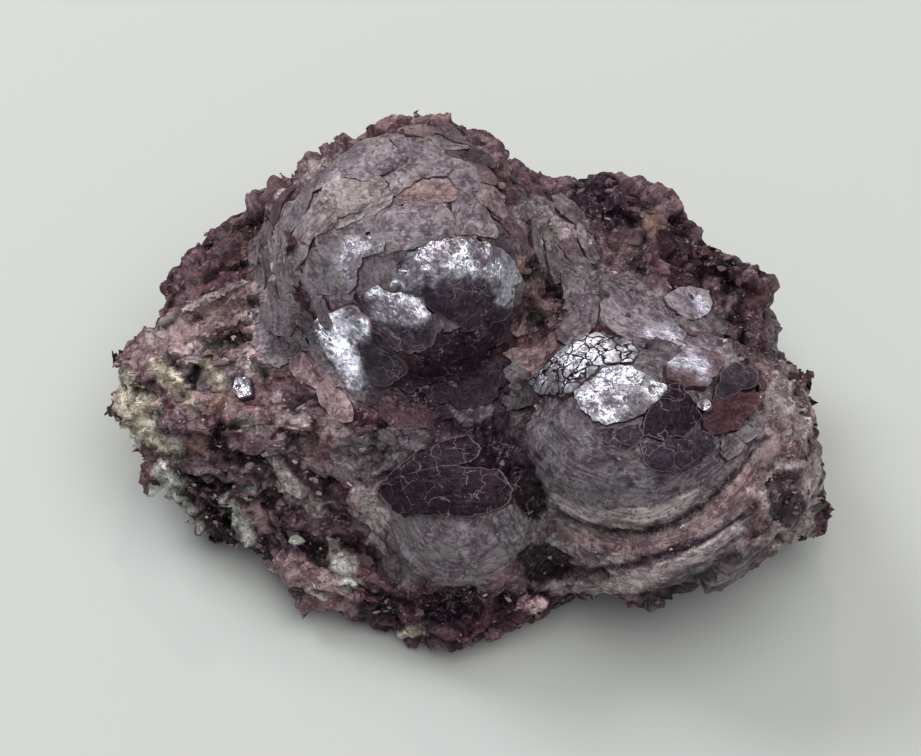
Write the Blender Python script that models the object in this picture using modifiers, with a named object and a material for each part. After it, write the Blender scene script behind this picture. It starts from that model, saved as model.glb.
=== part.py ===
"""A hand specimen of ball mica: a broken lump of grown-together mica with round, onion-layered balls.

The lump grew as one piece, so it is one solid. It lies on a flat cleavage face, with the balls on its
top and front. Lengths are in metres, +Z is up, and the origin is at the middle of the resting face's box.
"""

import math
from typing import NamedTuple

import bmesh
import bpy
from mathutils import Matrix, Vector, noise

MM = 0.001

# How the lobes are melted into one body, and how far it is thinned
FUSE_VOXEL = 0.85 * MM
LOBE_DETAIL = 4  # icosphere subdivisions
TRIANGLES = 9200
CUT_TOLERANCE = 1e-7

# The flat cleavage face is cut this far above the lowest lobe
BASE_CUT = 3.0 * MM

# The grain: broken plates fan out from a pole past the left tip, and are longer than wide
FAN_POLE = Vector((-62.0, -2.0, 14.0)) * MM
FAN_REACH = 45.0 * MM  # the distance from the pole at which a plate has its nominal width
GRAIN_STRETCH = 2.2

# The broken plates
PLATE_WIDTH = 4.6 * MM
PLATE_LEAN = 0.9
PLATE_DEPTH = 1.5 * MM
PLATE_BLEND = 1.0 * MM
STEEPEST = 0.5  # a plate that leans further from the surface than this is followed no further
OTHER_DRAW = Vector((17.0, 5.0, 29.0))  # added to a plate's seed for its second random draw

# Slow hills and dips over the whole lump
SWELL_SIZE = 9.0 * MM
SWELL_HEIGHT = 0.8 * MM

# Where the smooth skin of a ball gives way to broken plates
SKIN_WHOLE = 0.4 * MM  # up to this far from the ball's own surface the skin is whole
SKIN_GONE = 1.8 * MM
OPEN_FROM = 0.20  # how far the skin has to face the ball's open side, as a cosine
OPEN_WHOLE = 0.50

MICA_COLOUR = (0.200, 0.150, 0.175, 1.0)
MICA_ROUGHNESS = 0.42
MICA_METALLIC = 0.25


class Lobe(NamedTuple):
    """One swelling of the lump: an ellipsoid at centre, with turns about X, Y and Z in degrees."""

    centre: tuple
    radii: tuple
    turn: tuple = (0, 0, 0)


class Shell(NamedTuple):
    """An outer layer of a ball, broken off on the side that lean points to, so that a ledge is left."""

    ball: str
    growth: float  # thickness over the ball, as a share of its radius
    lean: tuple  # the direction in which the layer is missing
    reach: float  # how far up towards lean the layer still reaches, as a share of its radius


# Places and radii are millimetres here, and scaled once by MM where they are used.
BALLS = {
    "upper": Lobe((-3.5, 8.5, 29.0), (14.5, 14.0, 14.0)),
    "right": Lobe((19.8, -9.0, 22.5), (14.2, 12.6, 12.6), (0, 10, 0)),
    "lower": Lobe((2.0, -14.4, 17.6), (9.8, 9.2, 9.4)),
    "back": Lobe((15.0, 18.0, 15.0), (10.5, 10.5, 10.5)),
    "back_left": Lobe((-17.0, 17.0, 14.5), (10.0, 9.5, 10.0)),
}

# The side on which each ball is free of the lump. On its other sides it is broken up like the rest.
OPEN_SIDES = {
    "upper": (0.10, -0.60, 0.80),
    "right": (0.15, -0.60, 0.80),
    "lower": (0.0, -0.75, 0.65),
    "back": (0.40, 0.85, 0.30),
    "back_left": (-0.55, 0.80, 0.25),
}

LUMP = {
    "core": Lobe((0.0, 4.0, 16.5), (31.0, 21.0, 14.0)),
    "left_wedge": Lobe((-24.0, 0.5, 16.0), (14.5, 13.0, 9.5), (0, 0, -6)),
    "left_tip": Lobe((-33.0, -0.8, 16.2), (5.2, 7.5, 6.0), (0, 12, 0)),
    "left_back": Lobe((-25.0, 12.0, 16.0), (8.0, 8.6, 10.0)),
    "left_ridge": Lobe((-22.0, 6.5, 22.0), (13.0, 4.5, 4.0), (0, -24, 22)),
    "left_lip": Lobe((-24.6, -7.4, 8.0), (9.6, 7.6, 5.2), (0, 0, -34)),
    "front_lip": Lobe((-12.4, -14.8, 7.5), (12.0, 8.2, 6.0), (0, 0, -24)),
    "front_foot": Lobe((1.0, -16.4, 7.6), (15.0, 8.8, 7.0)),
    "right_foot": Lobe((19.5, -7.0, 9.5), (14.5, 10.5, 8.5), (0, -8, 14)),
    "right_block": Lobe((35.8, -10.0, 10.5), (5.0, 5.5, 6.5), (0, 0, 20)),
    "right_flake": Lobe((36.0, -0.5, 14.0), (4.4, 6.0, 5.5)),
    "right_rear": Lobe((31.0, 10.0, 16.0), (5.5, 7.0, 6.5)),
    "rear_ridge": Lobe((13.0, 15.5, 22.0), (16.0, 8.0, 7.5), (0, 10, -8)),
    "rear_knob_one": Lobe((16.0, 21.5, 21.5), (4.6, 4.2, 4.0)),
    "rear_knob_two": Lobe((22.5, 21.5, 20.5), (5.0, 4.6, 5.0)),
    "rear_knob_three": Lobe((27.5, 16.5, 18.0), (4.6, 4.6, 4.6)),
    "crest": Lobe((-4.0, 25.0, 27.5), (8.0, 4.5, 4.0), (0, 6, 4)),
    "crest_left": Lobe((-18.5, 18.5, 22.5), (9.0, 4.5, 7.0), (0, 0, 36)),
    "saddle": Lobe((9.0, 4.0, 25.5), (9.5, 8.0, 6.5)),
    "rear_shoulder": Lobe((-6.0, 17.5, 21.5), (15.0, 11.0, 13.0)),
    "back_bulk": Lobe((-2.0, 18.5, 14.0), (20.0, 9.5, 12.0)),
}

SHELLS = (
    Shell("right", 0.13, (-0.50, 0.05, 0.86), 0.02),
    Shell("right", 0.27, (-0.50, 0.15, 0.86), -0.14),
    Shell("right", 0.43, (-0.55, 0.15, 0.82), -0.30),
    Shell("upper", 0.09, (0.60, -0.78, -0.10), 0.10),
    Shell("upper", 0.22, (0.75, -0.66, 0.10), -0.25),
    Shell("lower", 0.13, (0.10, 0.20, 0.97), -0.24),
)

# Hollows that are pressed in, each an ellipsoid like a lobe
PITS = {
    "between_balls": Lobe((7.5, -7.5, 26.5), (4.2, 3.6, 4.5)),
    "under_lower_ball": Lobe((6.5, -21.5, 8.5), (9.0, 4.0, 3.4)),
    "left_slot": Lobe((-28.5, -11.5, 12.0), (9.0, 2.8, 2.0), (0, 0, -38)),
    "rear_hollow": Lobe((9.0, 16.5, 29.5), (4.5, 3.8, 3.5)),
    "shoulder": Lobe((-18.5, 14.0, 28.0), (4.0, 3.0, 3.0)),
}


def clear_scene():
    for obj in list(bpy.data.objects):
        bpy.data.objects.remove(obj)


def placement(lobe, growth=1.0):
    """The matrix that turns a unit sphere into this lobe."""
    turn = Matrix.Identity(4)
    for degrees, axis in zip(lobe.turn, "XYZ"):
        turn = Matrix.Rotation(math.radians(degrees), 4, axis) @ turn
    size = Matrix.Diagonal(Vector(lobe.radii) * MM * growth).to_4x4()
    return Matrix.Translation(Vector(lobe.centre) * MM) @ turn @ size


def add_lobe(bm, lobe, growth=1.0):
    place = placement(lobe, growth)
    made = bmesh.ops.create_icosphere(bm, subdivisions=LOBE_DETAIL, radius=1.0, matrix=place)
    return made["verts"]


def add_shell(bm, shell):
    """A grown copy of the ball, cut flat where the layer has broken away."""
    ball = BALLS[shell.ball]
    verts = add_lobe(bm, ball, 1.0 + shell.growth)
    lean = Vector(shell.lean).normalized()
    radius = max(ball.radii) * MM * (1.0 + shell.growth)
    edges = {edge for vert in verts for edge in vert.link_edges}
    faces = {face for vert in verts for face in vert.link_faces}
    cut = bmesh.ops.bisect_plane(
        bm,
        geom=[*verts, *edges, *faces],
        dist=CUT_TOLERANCE,
        plane_co=Vector(ball.centre) * MM + lean * radius * shell.reach,
        plane_no=lean,
        clear_outer=True,
    )
    rim = [e for e in cut["geom_cut"] if isinstance(e, bmesh.types.BMEdge)]
    bmesh.ops.holes_fill(bm, edges=rim)


def fuse_lobes():
    """Melts every ball, shell and lobe into one closed body."""
    bm = bmesh.new()
    for lobe in [*BALLS.values(), *LUMP.values()]:
        add_lobe(bm, lobe)
    for shell in SHELLS:
        add_shell(bm, shell)
    mesh = bpy.data.meshes.new("lobes")
    bm.to_mesh(mesh)
    bm.free()
    lobes = bpy.data.objects.new("lobes", mesh)
    bpy.context.collection.objects.link(lobes)
    melt = lobes.modifiers.new("melt", "REMESH")
    melt.mode = "VOXEL"
    melt.voxel_size = FUSE_VOXEL
    graph = bpy.context.evaluated_depsgraph_get()
    fused = bpy.data.meshes.new_from_object(lobes.evaluated_get(graph))
    bpy.data.objects.remove(lobes)
    return fused


def swell(bm):
    """Slow hills and dips, so that no ball is a true sphere."""
    for vert in bm.verts:
        vert.co += vert.normal * noise.noise(vert.co / SWELL_SIZE) * SWELL_HEIGHT


def press_pit(bm, pit):
    """Pushes the surface out of a hollow's ellipsoid, against the way it faces."""
    inward = placement(pit).inverted()
    for vert in bm.verts:
        local = inward @ vert.co
        if local.length < 1.0:
            depth = (1.0 - local.length) * min(pit.radii) * MM
            vert.co -= vert.normal * depth


def ball_skins():
    """For each ball and each of its shells: the matrix to its unit sphere, its radius and its open side."""
    grown = [(shell.ball, 1.0 + shell.growth) for shell in SHELLS]
    grown += [(name, 1.0) for name in BALLS]
    return [
        (placement(BALLS[name], growth).inverted(), min(BALLS[name].radii) * MM, Vector(OPEN_SIDES[name]))
        for name, growth in grown
    ]


def free_skin(bm):
    """For each vertex: 1 on the free skin of a ball or a shell, and 0 off it and on its hidden side."""
    skins = ball_skins()
    found = {}
    for vert in bm.verts:
        best = 0.0
        for inward, radius, open_side in skins:
            gap = abs((inward @ vert.co).length - 1.0) * radius
            near = (SKIN_GONE - gap) / (SKIN_GONE - SKIN_WHOLE)
            facing = (vert.normal.dot(open_side) - OPEN_FROM) / (OPEN_WHOLE - OPEN_FROM)
            best = max(best, min(near, facing, 1.0))
        found[vert] = best
    return found


def along_grain(point):
    """The point in the lump's own grain: plates are long away from FAN_POLE, and narrow round it."""
    arm = point - FAN_POLE
    reach = arm.length
    across = math.atan2(arm.y, arm.x) * FAN_REACH
    rise = math.asin(arm.z / reach) * FAN_REACH
    return Vector((reach / GRAIN_STRETCH, across, rise))


def break_into_faces(bm, free, size, lean, most, blend):
    """Moves the surface onto flat, tilted faces about size across, as broken crystal does.

    Each face is a cell of a Voronoi pattern. It lies through the middle of its cell, turned by up to
    lean from the way the cell faces, and moves a point by no more than most. Neighbouring faces run
    into each other over the width blend. What is free skin stays as it is.
    """
    cells = {}
    near = {}
    for vert in bm.verts:
        distances, seeds = noise.voronoi(along_grain(vert.co) / size)
        first, second = (tuple(round(x, 4) for x in seed) for seed in seeds[:2])
        near[vert] = first, second, (distances[1] - distances[0]) * size / blend
        cells.setdefault(first, []).append(vert)
    faces = {}
    for seed, verts in cells.items():
        middle = sum((v.co for v in verts), Vector()) / len(verts)
        facing = sum((v.normal for v in verts), Vector()).normalized()
        tilt = noise.cell_vector(Vector(seed)) - Vector((0.5, 0.5, 0.5))
        rise = (noise.cell(Vector(seed) + OTHER_DRAW) - 0.5) * most
        face = (facing + tilt * lean).normalized()
        faces[seed] = middle + face * rise, face
    shifts = []
    for vert in bm.verts:
        first, second, edge = near[vert]
        both = []
        for seed in (first, second):
            middle, face = faces.get(seed, faces[first])
            shift = (middle - vert.co).dot(face) / max(STEEPEST, face.dot(vert.normal))
            both.append(max(-most, min(most, shift)))
        share = 0.5 + 0.5 * min(1.0, edge)
        shift = both[0] * share + both[1] * (1.0 - share)
        shifts.append(shift * (1.0 - free[vert]))
    for vert, shift in zip(bm.verts, shifts):
        vert.co += vert.normal * shift


def make_lump():
    mesh = fuse_lobes()
    bm = bmesh.new()
    bm.from_mesh(mesh)
    free = free_skin(bm)
    swell(bm)
    for pit in PITS.values():
        bm.normal_update()
        press_pit(bm, pit)
    bm.normal_update()
    break_into_faces(bm, free, PLATE_WIDTH, PLATE_LEAN, PLATE_DEPTH, PLATE_BLEND)
    bm.to_mesh(mesh)
    bm.free()
    mesh.name = "mica_crystal"
    lump = bpy.data.objects.new("mica_crystal", mesh)
    specimen = bpy.data.collections.new("mica_crystal")
    bpy.context.scene.collection.children.link(specimen)
    specimen.objects.link(lump)
    return lump


def thin_out(lump):
    """Keeps the triangles where the shape turns, down to the budget."""
    thin = lump.modifiers.new("thin_out", "DECIMATE")
    thin.ratio = TRIANGLES / (2 * len(lump.data.polygons))
    thin.use_collapse_triangulate = True
    graph = bpy.context.evaluated_depsgraph_get()
    mesh = bpy.data.meshes.new_from_object(lump.evaluated_get(graph))
    lump.modifiers.clear()
    lump.data = mesh


def cleave_base(lump):
    """Cuts the underside flat and stands the lump on the ground, over the origin."""
    bm = bmesh.new()
    bm.from_mesh(lump.data)
    floor = min(v.co.z for v in bm.verts) + BASE_CUT
    cut = bmesh.ops.bisect_plane(
        bm,
        geom=bm.verts[:] + bm.edges[:] + bm.faces[:],
        dist=CUT_TOLERANCE,
        plane_co=(0, 0, floor),
        plane_no=(0, 0, -1),
        clear_outer=True,
    )
    rim = [e for e in cut["geom_cut"] if isinstance(e, bmesh.types.BMEdge)]
    bmesh.ops.holes_fill(bm, edges=rim)
    bmesh.ops.triangulate(bm, faces=[f for f in bm.faces if len(f.verts) > 3])
    low = [min(v.co[i] for v in bm.verts) for i in range(3)]
    high = [max(v.co[i] for v in bm.verts) for i in range(3)]
    middle = Vector(((low[0] + high[0]) / 2, (low[1] + high[1]) / 2, floor))
    bmesh.ops.translate(bm, verts=bm.verts, vec=-middle)
    bm.to_mesh(lump.data)
    bm.free()


def mica_material():
    material = bpy.data.materials.new("mica")
    material.use_nodes = True
    shader = material.node_tree.nodes["Principled BSDF"]
    shader.inputs["Base Color"].default_value = MICA_COLOUR
    shader.inputs["Roughness"].default_value = MICA_ROUGHNESS
    shader.inputs["Metallic"].default_value = MICA_METALLIC
    return material


def main():
    clear_scene()
    lump = make_lump()
    thin_out(lump)
    cleave_base(lump)
    lump.data.materials.clear()
    lump.data.materials.append(mica_material())


main()
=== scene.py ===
"""Dresses a hand specimen of ball mica: a purple-grey lump of curved, layered plates on a pale floor.

The lump's fine surface, its larger plates, its scales, its broken books and its loose flakes are separate
pieces. Its strips and the dull plates of its broken parts are worked into the fine surface.
Lengths are metres unless a name says otherwise. Photo places are pixels of a 921 by 756 picture, with
y downwards, and are carried onto the lump along the lines of sight of the camera below.
"""

import math
from typing import NamedTuple

import bmesh
import bpy
import numpy as np
from bpy.props import FloatProperty, FloatVectorProperty, IntProperty, PointerProperty
from mathutils import Matrix, Vector, noise
from mathutils.bvhtree import BVHTree


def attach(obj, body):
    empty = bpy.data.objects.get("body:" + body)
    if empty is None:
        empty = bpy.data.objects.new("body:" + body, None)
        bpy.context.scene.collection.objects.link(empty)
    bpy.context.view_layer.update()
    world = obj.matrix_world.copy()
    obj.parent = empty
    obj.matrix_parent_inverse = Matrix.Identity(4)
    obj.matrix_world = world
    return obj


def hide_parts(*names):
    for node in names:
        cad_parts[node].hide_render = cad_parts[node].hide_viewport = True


bl_info = {
    "name": "Ball mica specimen",
    "version": (1, 0, 0),
    "blender": (4, 5, 0),
    "location": "3D View > Sidebar > Mica",
    "description": "Builds the plates, books and flakes of a lump of ball mica",
    "category": "Add Mesh",
}

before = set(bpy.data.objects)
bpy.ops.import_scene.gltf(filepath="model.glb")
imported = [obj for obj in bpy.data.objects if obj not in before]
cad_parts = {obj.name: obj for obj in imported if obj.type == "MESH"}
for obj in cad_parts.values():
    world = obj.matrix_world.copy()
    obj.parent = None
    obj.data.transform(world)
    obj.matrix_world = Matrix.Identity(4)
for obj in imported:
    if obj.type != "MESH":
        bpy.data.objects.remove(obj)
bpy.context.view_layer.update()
LUMP_NODE = "mica_crystal"

MM = 0.001

# The photo and the camera that took it
PHOTO_WIDTH = 921
PHOTO_HEIGHT = 756
CAMERA_AIM = Vector((-0.80, -0.64, 16.31)) * MM
CAMERA_DISTANCE = 330 * MM
CAMERA_ELEVATION = math.radians(58)
PIXELS_PER_MM = 9.0  # at the aim
SENSOR_WIDTH = 36.0
DEEPEST_LOOK = 60 * MM  # where sight lines start, over the aim


class View(NamedTuple):
    """A way to look at the lump. Every view has the photo's frame and scale at its aim."""

    aim: Vector
    right: Vector
    up: Vector
    towards: Vector
    start: float  # height over the aim at which sight lines start

    def eye(self):
        return self.aim + self.towards * CAMERA_DISTANCE

    def place(self, px, py, height):
        """The points at these pixels and heights towards the eye."""
        shrink = (CAMERA_DISTANCE - height) / CAMERA_DISTANCE / PIXELS_PER_MM * MM
        across = np.asarray((px - PHOTO_WIDTH / 2) * shrink)[..., None] * np.array(self.right)
        rise = np.asarray((PHOTO_HEIGHT / 2 - py) * shrink)[..., None] * np.array(self.up)
        out = np.asarray(height)[..., None] * np.array(self.towards)
        return np.array(self.aim) + across + rise + out

    def height(self, point):
        return (point - self.aim).dot(self.towards)

    def heights_of(self, px, py, ground):
        """The lump's own heights at pixels: beside the lump, those of its nearest rim."""
        found = np.zeros(len(px))
        for index, (x, y) in enumerate(zip(px, py)):
            start = Vector(self.place(x, y, self.start))
            hit = ground.tree.ray_cast(start, (start - self.eye()).normalized())[0]
            if hit is None:
                for _ in range(4):
                    hit = ground.tree.find_nearest(Vector(self.place(x, y, found[index])))[0]
                    found[index] = self.height(hit)
            found[index] = self.height(hit)
        return found


PHOTO_VIEW = View(
    CAMERA_AIM,
    Vector((1, 0, 0)),
    Vector((0, math.sin(CAMERA_ELEVATION), math.cos(CAMERA_ELEVATION))),
    Vector((0, -math.cos(CAMERA_ELEVATION), math.sin(CAMERA_ELEVATION))),
    DEEPEST_LOOK,
)


class Finish(NamedTuple):
    """How a plate looks: the name of its colour, and shares from 0 to 1 of its effects."""

    colour: str
    foil: float = 0.0  # crumpled mirror glints
    streaks: float = 0.3  # lines along the plate
    cracked: float = 0.0  # split into small polygons
    rim: float = 0.5  # how pale its thin edge is
    threads: float = 0.4  # pale hairlines, the edges of clear sheets
    stain: float = 0.0  # rust along its edges


FINISHES = {
    "lilac": Finish("lilac", 0.22, 0.25, 0.0, 0.30, 0.3, 0.5),
    "pale": Finish("pale", 0.15, 0.7, 0.0, 0.3),
    "frosted": Finish("pale", 0.20, 0.3, 0.0, 0.25, 0.3, 0.5),
    "rose": Finish("rose", 0.10, 0.6, 0.0, 0.4),
    "mauve": Finish("mauve", 0.12, 0.6, 0.0, 0.35),
    "grey": Finish("grey", 0.25, 0.5, 0.0, 0.35, 0.5),
    "violet": Finish("violet", 0.40, 0.3, 0.0, 0.9, 1.0),
    "smoky": Finish("smoke", 0.35, 0.5, 0.0, 0.8, 0.9),
    "red": Finish("red", 0.15, 0.6, 0.0, 0.25),
    "silver": Finish("silver", 1.0, 0.0, 0.0, 0.5, 0.5),
    "mosaic": Finish("silver", 0.9, 0.0, 1.0, 0.5, 0.3),
    "sheen": Finish("sheen", 0.75, 0.1, 0.0, 0.4, 0.3),
    "cream": Finish("cream", 0.0, 0.2, 0.2, 0.1, 0.0, 0.3),
    "sage": Finish("sage", 0.0, 0.3, 0.2, 0.1, 0.0),
    "tan": Finish("tan", 0.10, 0.3, 0.2, 0.2, 0.0),
    "skin_lilac": Finish("lilac", 0.25, 0.25, 0.0, 0.12),
    "skin_grey": Finish("grey", 0.22, 0.5, 0.0, 0.05, 0.6),
    "skin_mauve": Finish("mauve", 0.15, 0.4, 0.0, 0.12),
}


class Plate(NamedTuple):
    """A mica plate by its outline in the photo. facing turns it, as right, up and towards the camera."""

    finish: str
    outline: tuple
    rise: float = 0.2  # millimetres over the lump
    facing: tuple = ()
    turn: float = 0.7  # how far it turns to its facing
    bend: float = 1.0  # how much of the lump's curve it follows
    grain: float = 0.0  # degrees from the photo's x axis to its streaks
    glint: tuple = ()  # where its cleavage mirrors the window, in photo pixels
    gleams: tuple = ()  # (x, y, reach) in photo pixels: painted highlight, it keeps its bright tint and full mirror share only near these
    dull: str = "smoke"  # painted shade: the darker colour of its other parts, away from its gleams, where it also mirrors less


class Strip(NamedTuple):
    """A long curved band of the skin by its middle line in the photo, with its half width at each point."""

    finish: str
    line: tuple
    rise: float = 0.2


MIRROR_FACING = (-0.32, 0.46, 0.83)  # sends the window's light to the camera

UPPER_BALL = {
    "top_left": Plate("lilac", (
        (316, 190), (322, 175), (340, 160), (356, 150), (377, 145), (392, 147), (405, 155), (408, 162),
        (398, 168), (382, 173), (367, 180), (348, 176), (333, 178),
    ), 0.35),
    "lower_left_top": Plate("frosted", (
        (322, 186), (333, 180), (348, 175), (362, 178), (380, 176), (388, 184), (375, 200), (355, 210),
        (338, 218), (328, 208), (318, 197),
    ), 0.23),
    "top": Plate("lilac", (
        (390, 138), (419, 136), (441, 145), (451, 155), (453, 168), (445, 174), (419, 178), (411, 183),
        (396, 195), (390, 189), (388, 176), (407, 166), (409, 155), (398, 147),
    ), 0.25),
    "top_right_small": Plate("lilac", (
        (449, 176), (457, 168), (466, 164), (475, 169), (479, 181), (478, 191), (470, 193), (457, 187),
    ), 0.30),
    "right_patch": Plate("lilac", (
        (453, 208), (453, 199), (459, 193), (472, 193), (483, 202), (491, 216), (497, 231), (495, 237),
        (478, 235), (457, 235), (453, 225),
    ), 0.20),
    "middle_brown": Plate("rose", (
        (390, 189), (409, 183), (430, 180), (453, 183), (459, 191), (455, 199), (440, 202), (419, 202),
        (398, 204), (396, 195),
    ), 0.17),
    "middle": Plate("lilac", (
        (396, 206), (419, 202), (440, 204), (451, 210), (453, 235), (440, 242), (419, 246), (398, 250),
        (382, 256), (373, 250), (373, 233), (382, 216),
    ), 0.25),
    "left_grey": Plate("sheen", (
        (306, 265), (312, 250), (325, 242), (344, 237), (356, 235), (375, 235), (384, 240), (382, 252),
        (361, 258), (356, 269), (356, 284), (350, 290), (335, 292), (318, 292), (308, 279),
    ), 0.22, glint=(366, 246), gleams=(
        (353, 246, 10), (372, 243, 10), (344, 262, 9), (351, 274, 8),
    ), dull="grey"),
    "foil": Plate("silver", (
        (382, 275), (390, 263), (409, 252), (430, 242), (451, 238), (472, 241), (489, 245), (502, 250),
        (510, 258), (518, 271), (520, 282), (514, 286), (512, 300), (508, 318), (490, 326), (468, 330),
        (453, 322), (438, 313), (428, 305), (422, 296), (411, 293), (398, 292), (386, 288),
    ), 0.30, bend=1.25, glint=(416, 242), gleams=(
        (386, 276, 14), (398, 267, 20), (412, 261, 23), (427, 256, 22), (444, 252, 20), (461, 253, 20),
        (482, 257, 18), (500, 262, 18), (510, 276, 16), (507, 294, 12),
    )),
    "foil_lower": Plate("silver", (
        (354, 288), (365, 279), (377, 286), (386, 293), (403, 294), (415, 292), (422, 300), (428, 313),
        (436, 330), (430, 346), (410, 352), (392, 346), (378, 328), (365, 312), (355, 299),
    ), 0.16, glint=(368, 280), gleams=((374, 283, 15), (393, 303, 18), (413, 308, 16))),
    "foil_left": Plate("silver", (
        (303, 337), (316, 321), (332, 314), (348, 307), (357, 310), (369, 325), (382, 339), (387, 348),
        (396, 355), (403, 366), (405, 373), (398, 380), (387, 384), (376, 385), (366, 394), (357, 394),
        (350, 389), (344, 380), (339, 369), (330, 359), (323, 348), (314, 341),
    ), 0.35, glint=(330, 322), gleams=(
        (319, 326, 15), (329, 335, 18), (338, 347, 17), (346, 362, 14), (352, 380, 11), (341, 323, 16),
        (356, 320, 14), (362, 334, 9),
    )),
    "left_light_low": Plate("pale", (
        (259, 255), (270, 236), (280, 232), (286, 239), (282, 257), (277, 271), (266, 277), (255, 271),
    ), 0.30, grain=70),
    "left_light_high": Plate("pale", (
        (309, 223), (320, 209), (329, 204), (338, 211), (336, 223), (327, 230), (314, 236), (309, 245),
        (302, 240),
    ), 0.30, grain=50),
    "tan_streak": Plate("pale", (
        (330, 222), (352, 207), (372, 196), (384, 189), (393, 193), (390, 204), (372, 214), (352, 222),
        (337, 229),
    ), 0.10, grain=25),
    "rounded_high": Plate("lilac", (
        (257, 311), (271, 298), (289, 296), (298, 307), (296, 325), (289, 336), (275, 334), (261, 325),
    ), 0.25),
    "rounded_low": Plate("grey", (
        (264, 352), (275, 339), (293, 338), (298, 348), (289, 361), (279, 366), (268, 361),
    ), 0.20),
    "flank_outer": Strip("pale", (
        ((268, 282), 4), ((274, 262), 5), ((284, 242), 5), ((298, 222), 5), ((312, 204), 4),
    ), 0.12),
    "flank_inner": Strip("pale", (
        ((318, 206), 3), ((304, 228), 5), ((296, 252), 5), ((294, 276), 5), ((299, 300), 5),
        ((310, 322), 3),
    ), 0.10),
    "flank_low": Strip("grey", (
        ((284, 262), 3), ((281, 280), 5), ((284, 300), 6), ((292, 322), 5), ((304, 340), 3),
    ), 0.10),
    "crest": Strip("red", (
        ((366, 134), 4), ((384, 127), 6), ((404, 123), 7), ((424, 123), 7), ((444, 123), 7),
        ((459, 128), 5),
    ), 0.10),
    "crest_light": Strip("rose", (
        ((380, 124), 3), ((398, 117), 4), ((418, 118), 4), ((438, 116), 5), ((452, 118), 3),
    ), 0.50),
    "left_strata_outer": Strip("mauve", (
        ((254, 210), 6), ((266, 189), 8), ((286, 170), 10), ((308, 157), 10), ((334, 149), 6),
        ((352, 145), 2),
    ), 2.4),
    "left_strata_light": Strip("pale", (
        ((268, 212), 2), ((281, 196), 3), ((298, 182), 4), ((316, 169), 4), ((330, 163), 2),
    ), 0.4),
    "left_strata_inner": Strip("red", (
        ((274, 220), 4), ((289, 203), 5), ((306, 188), 5), ((320, 176), 4),
    ), 0.10),
}

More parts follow.
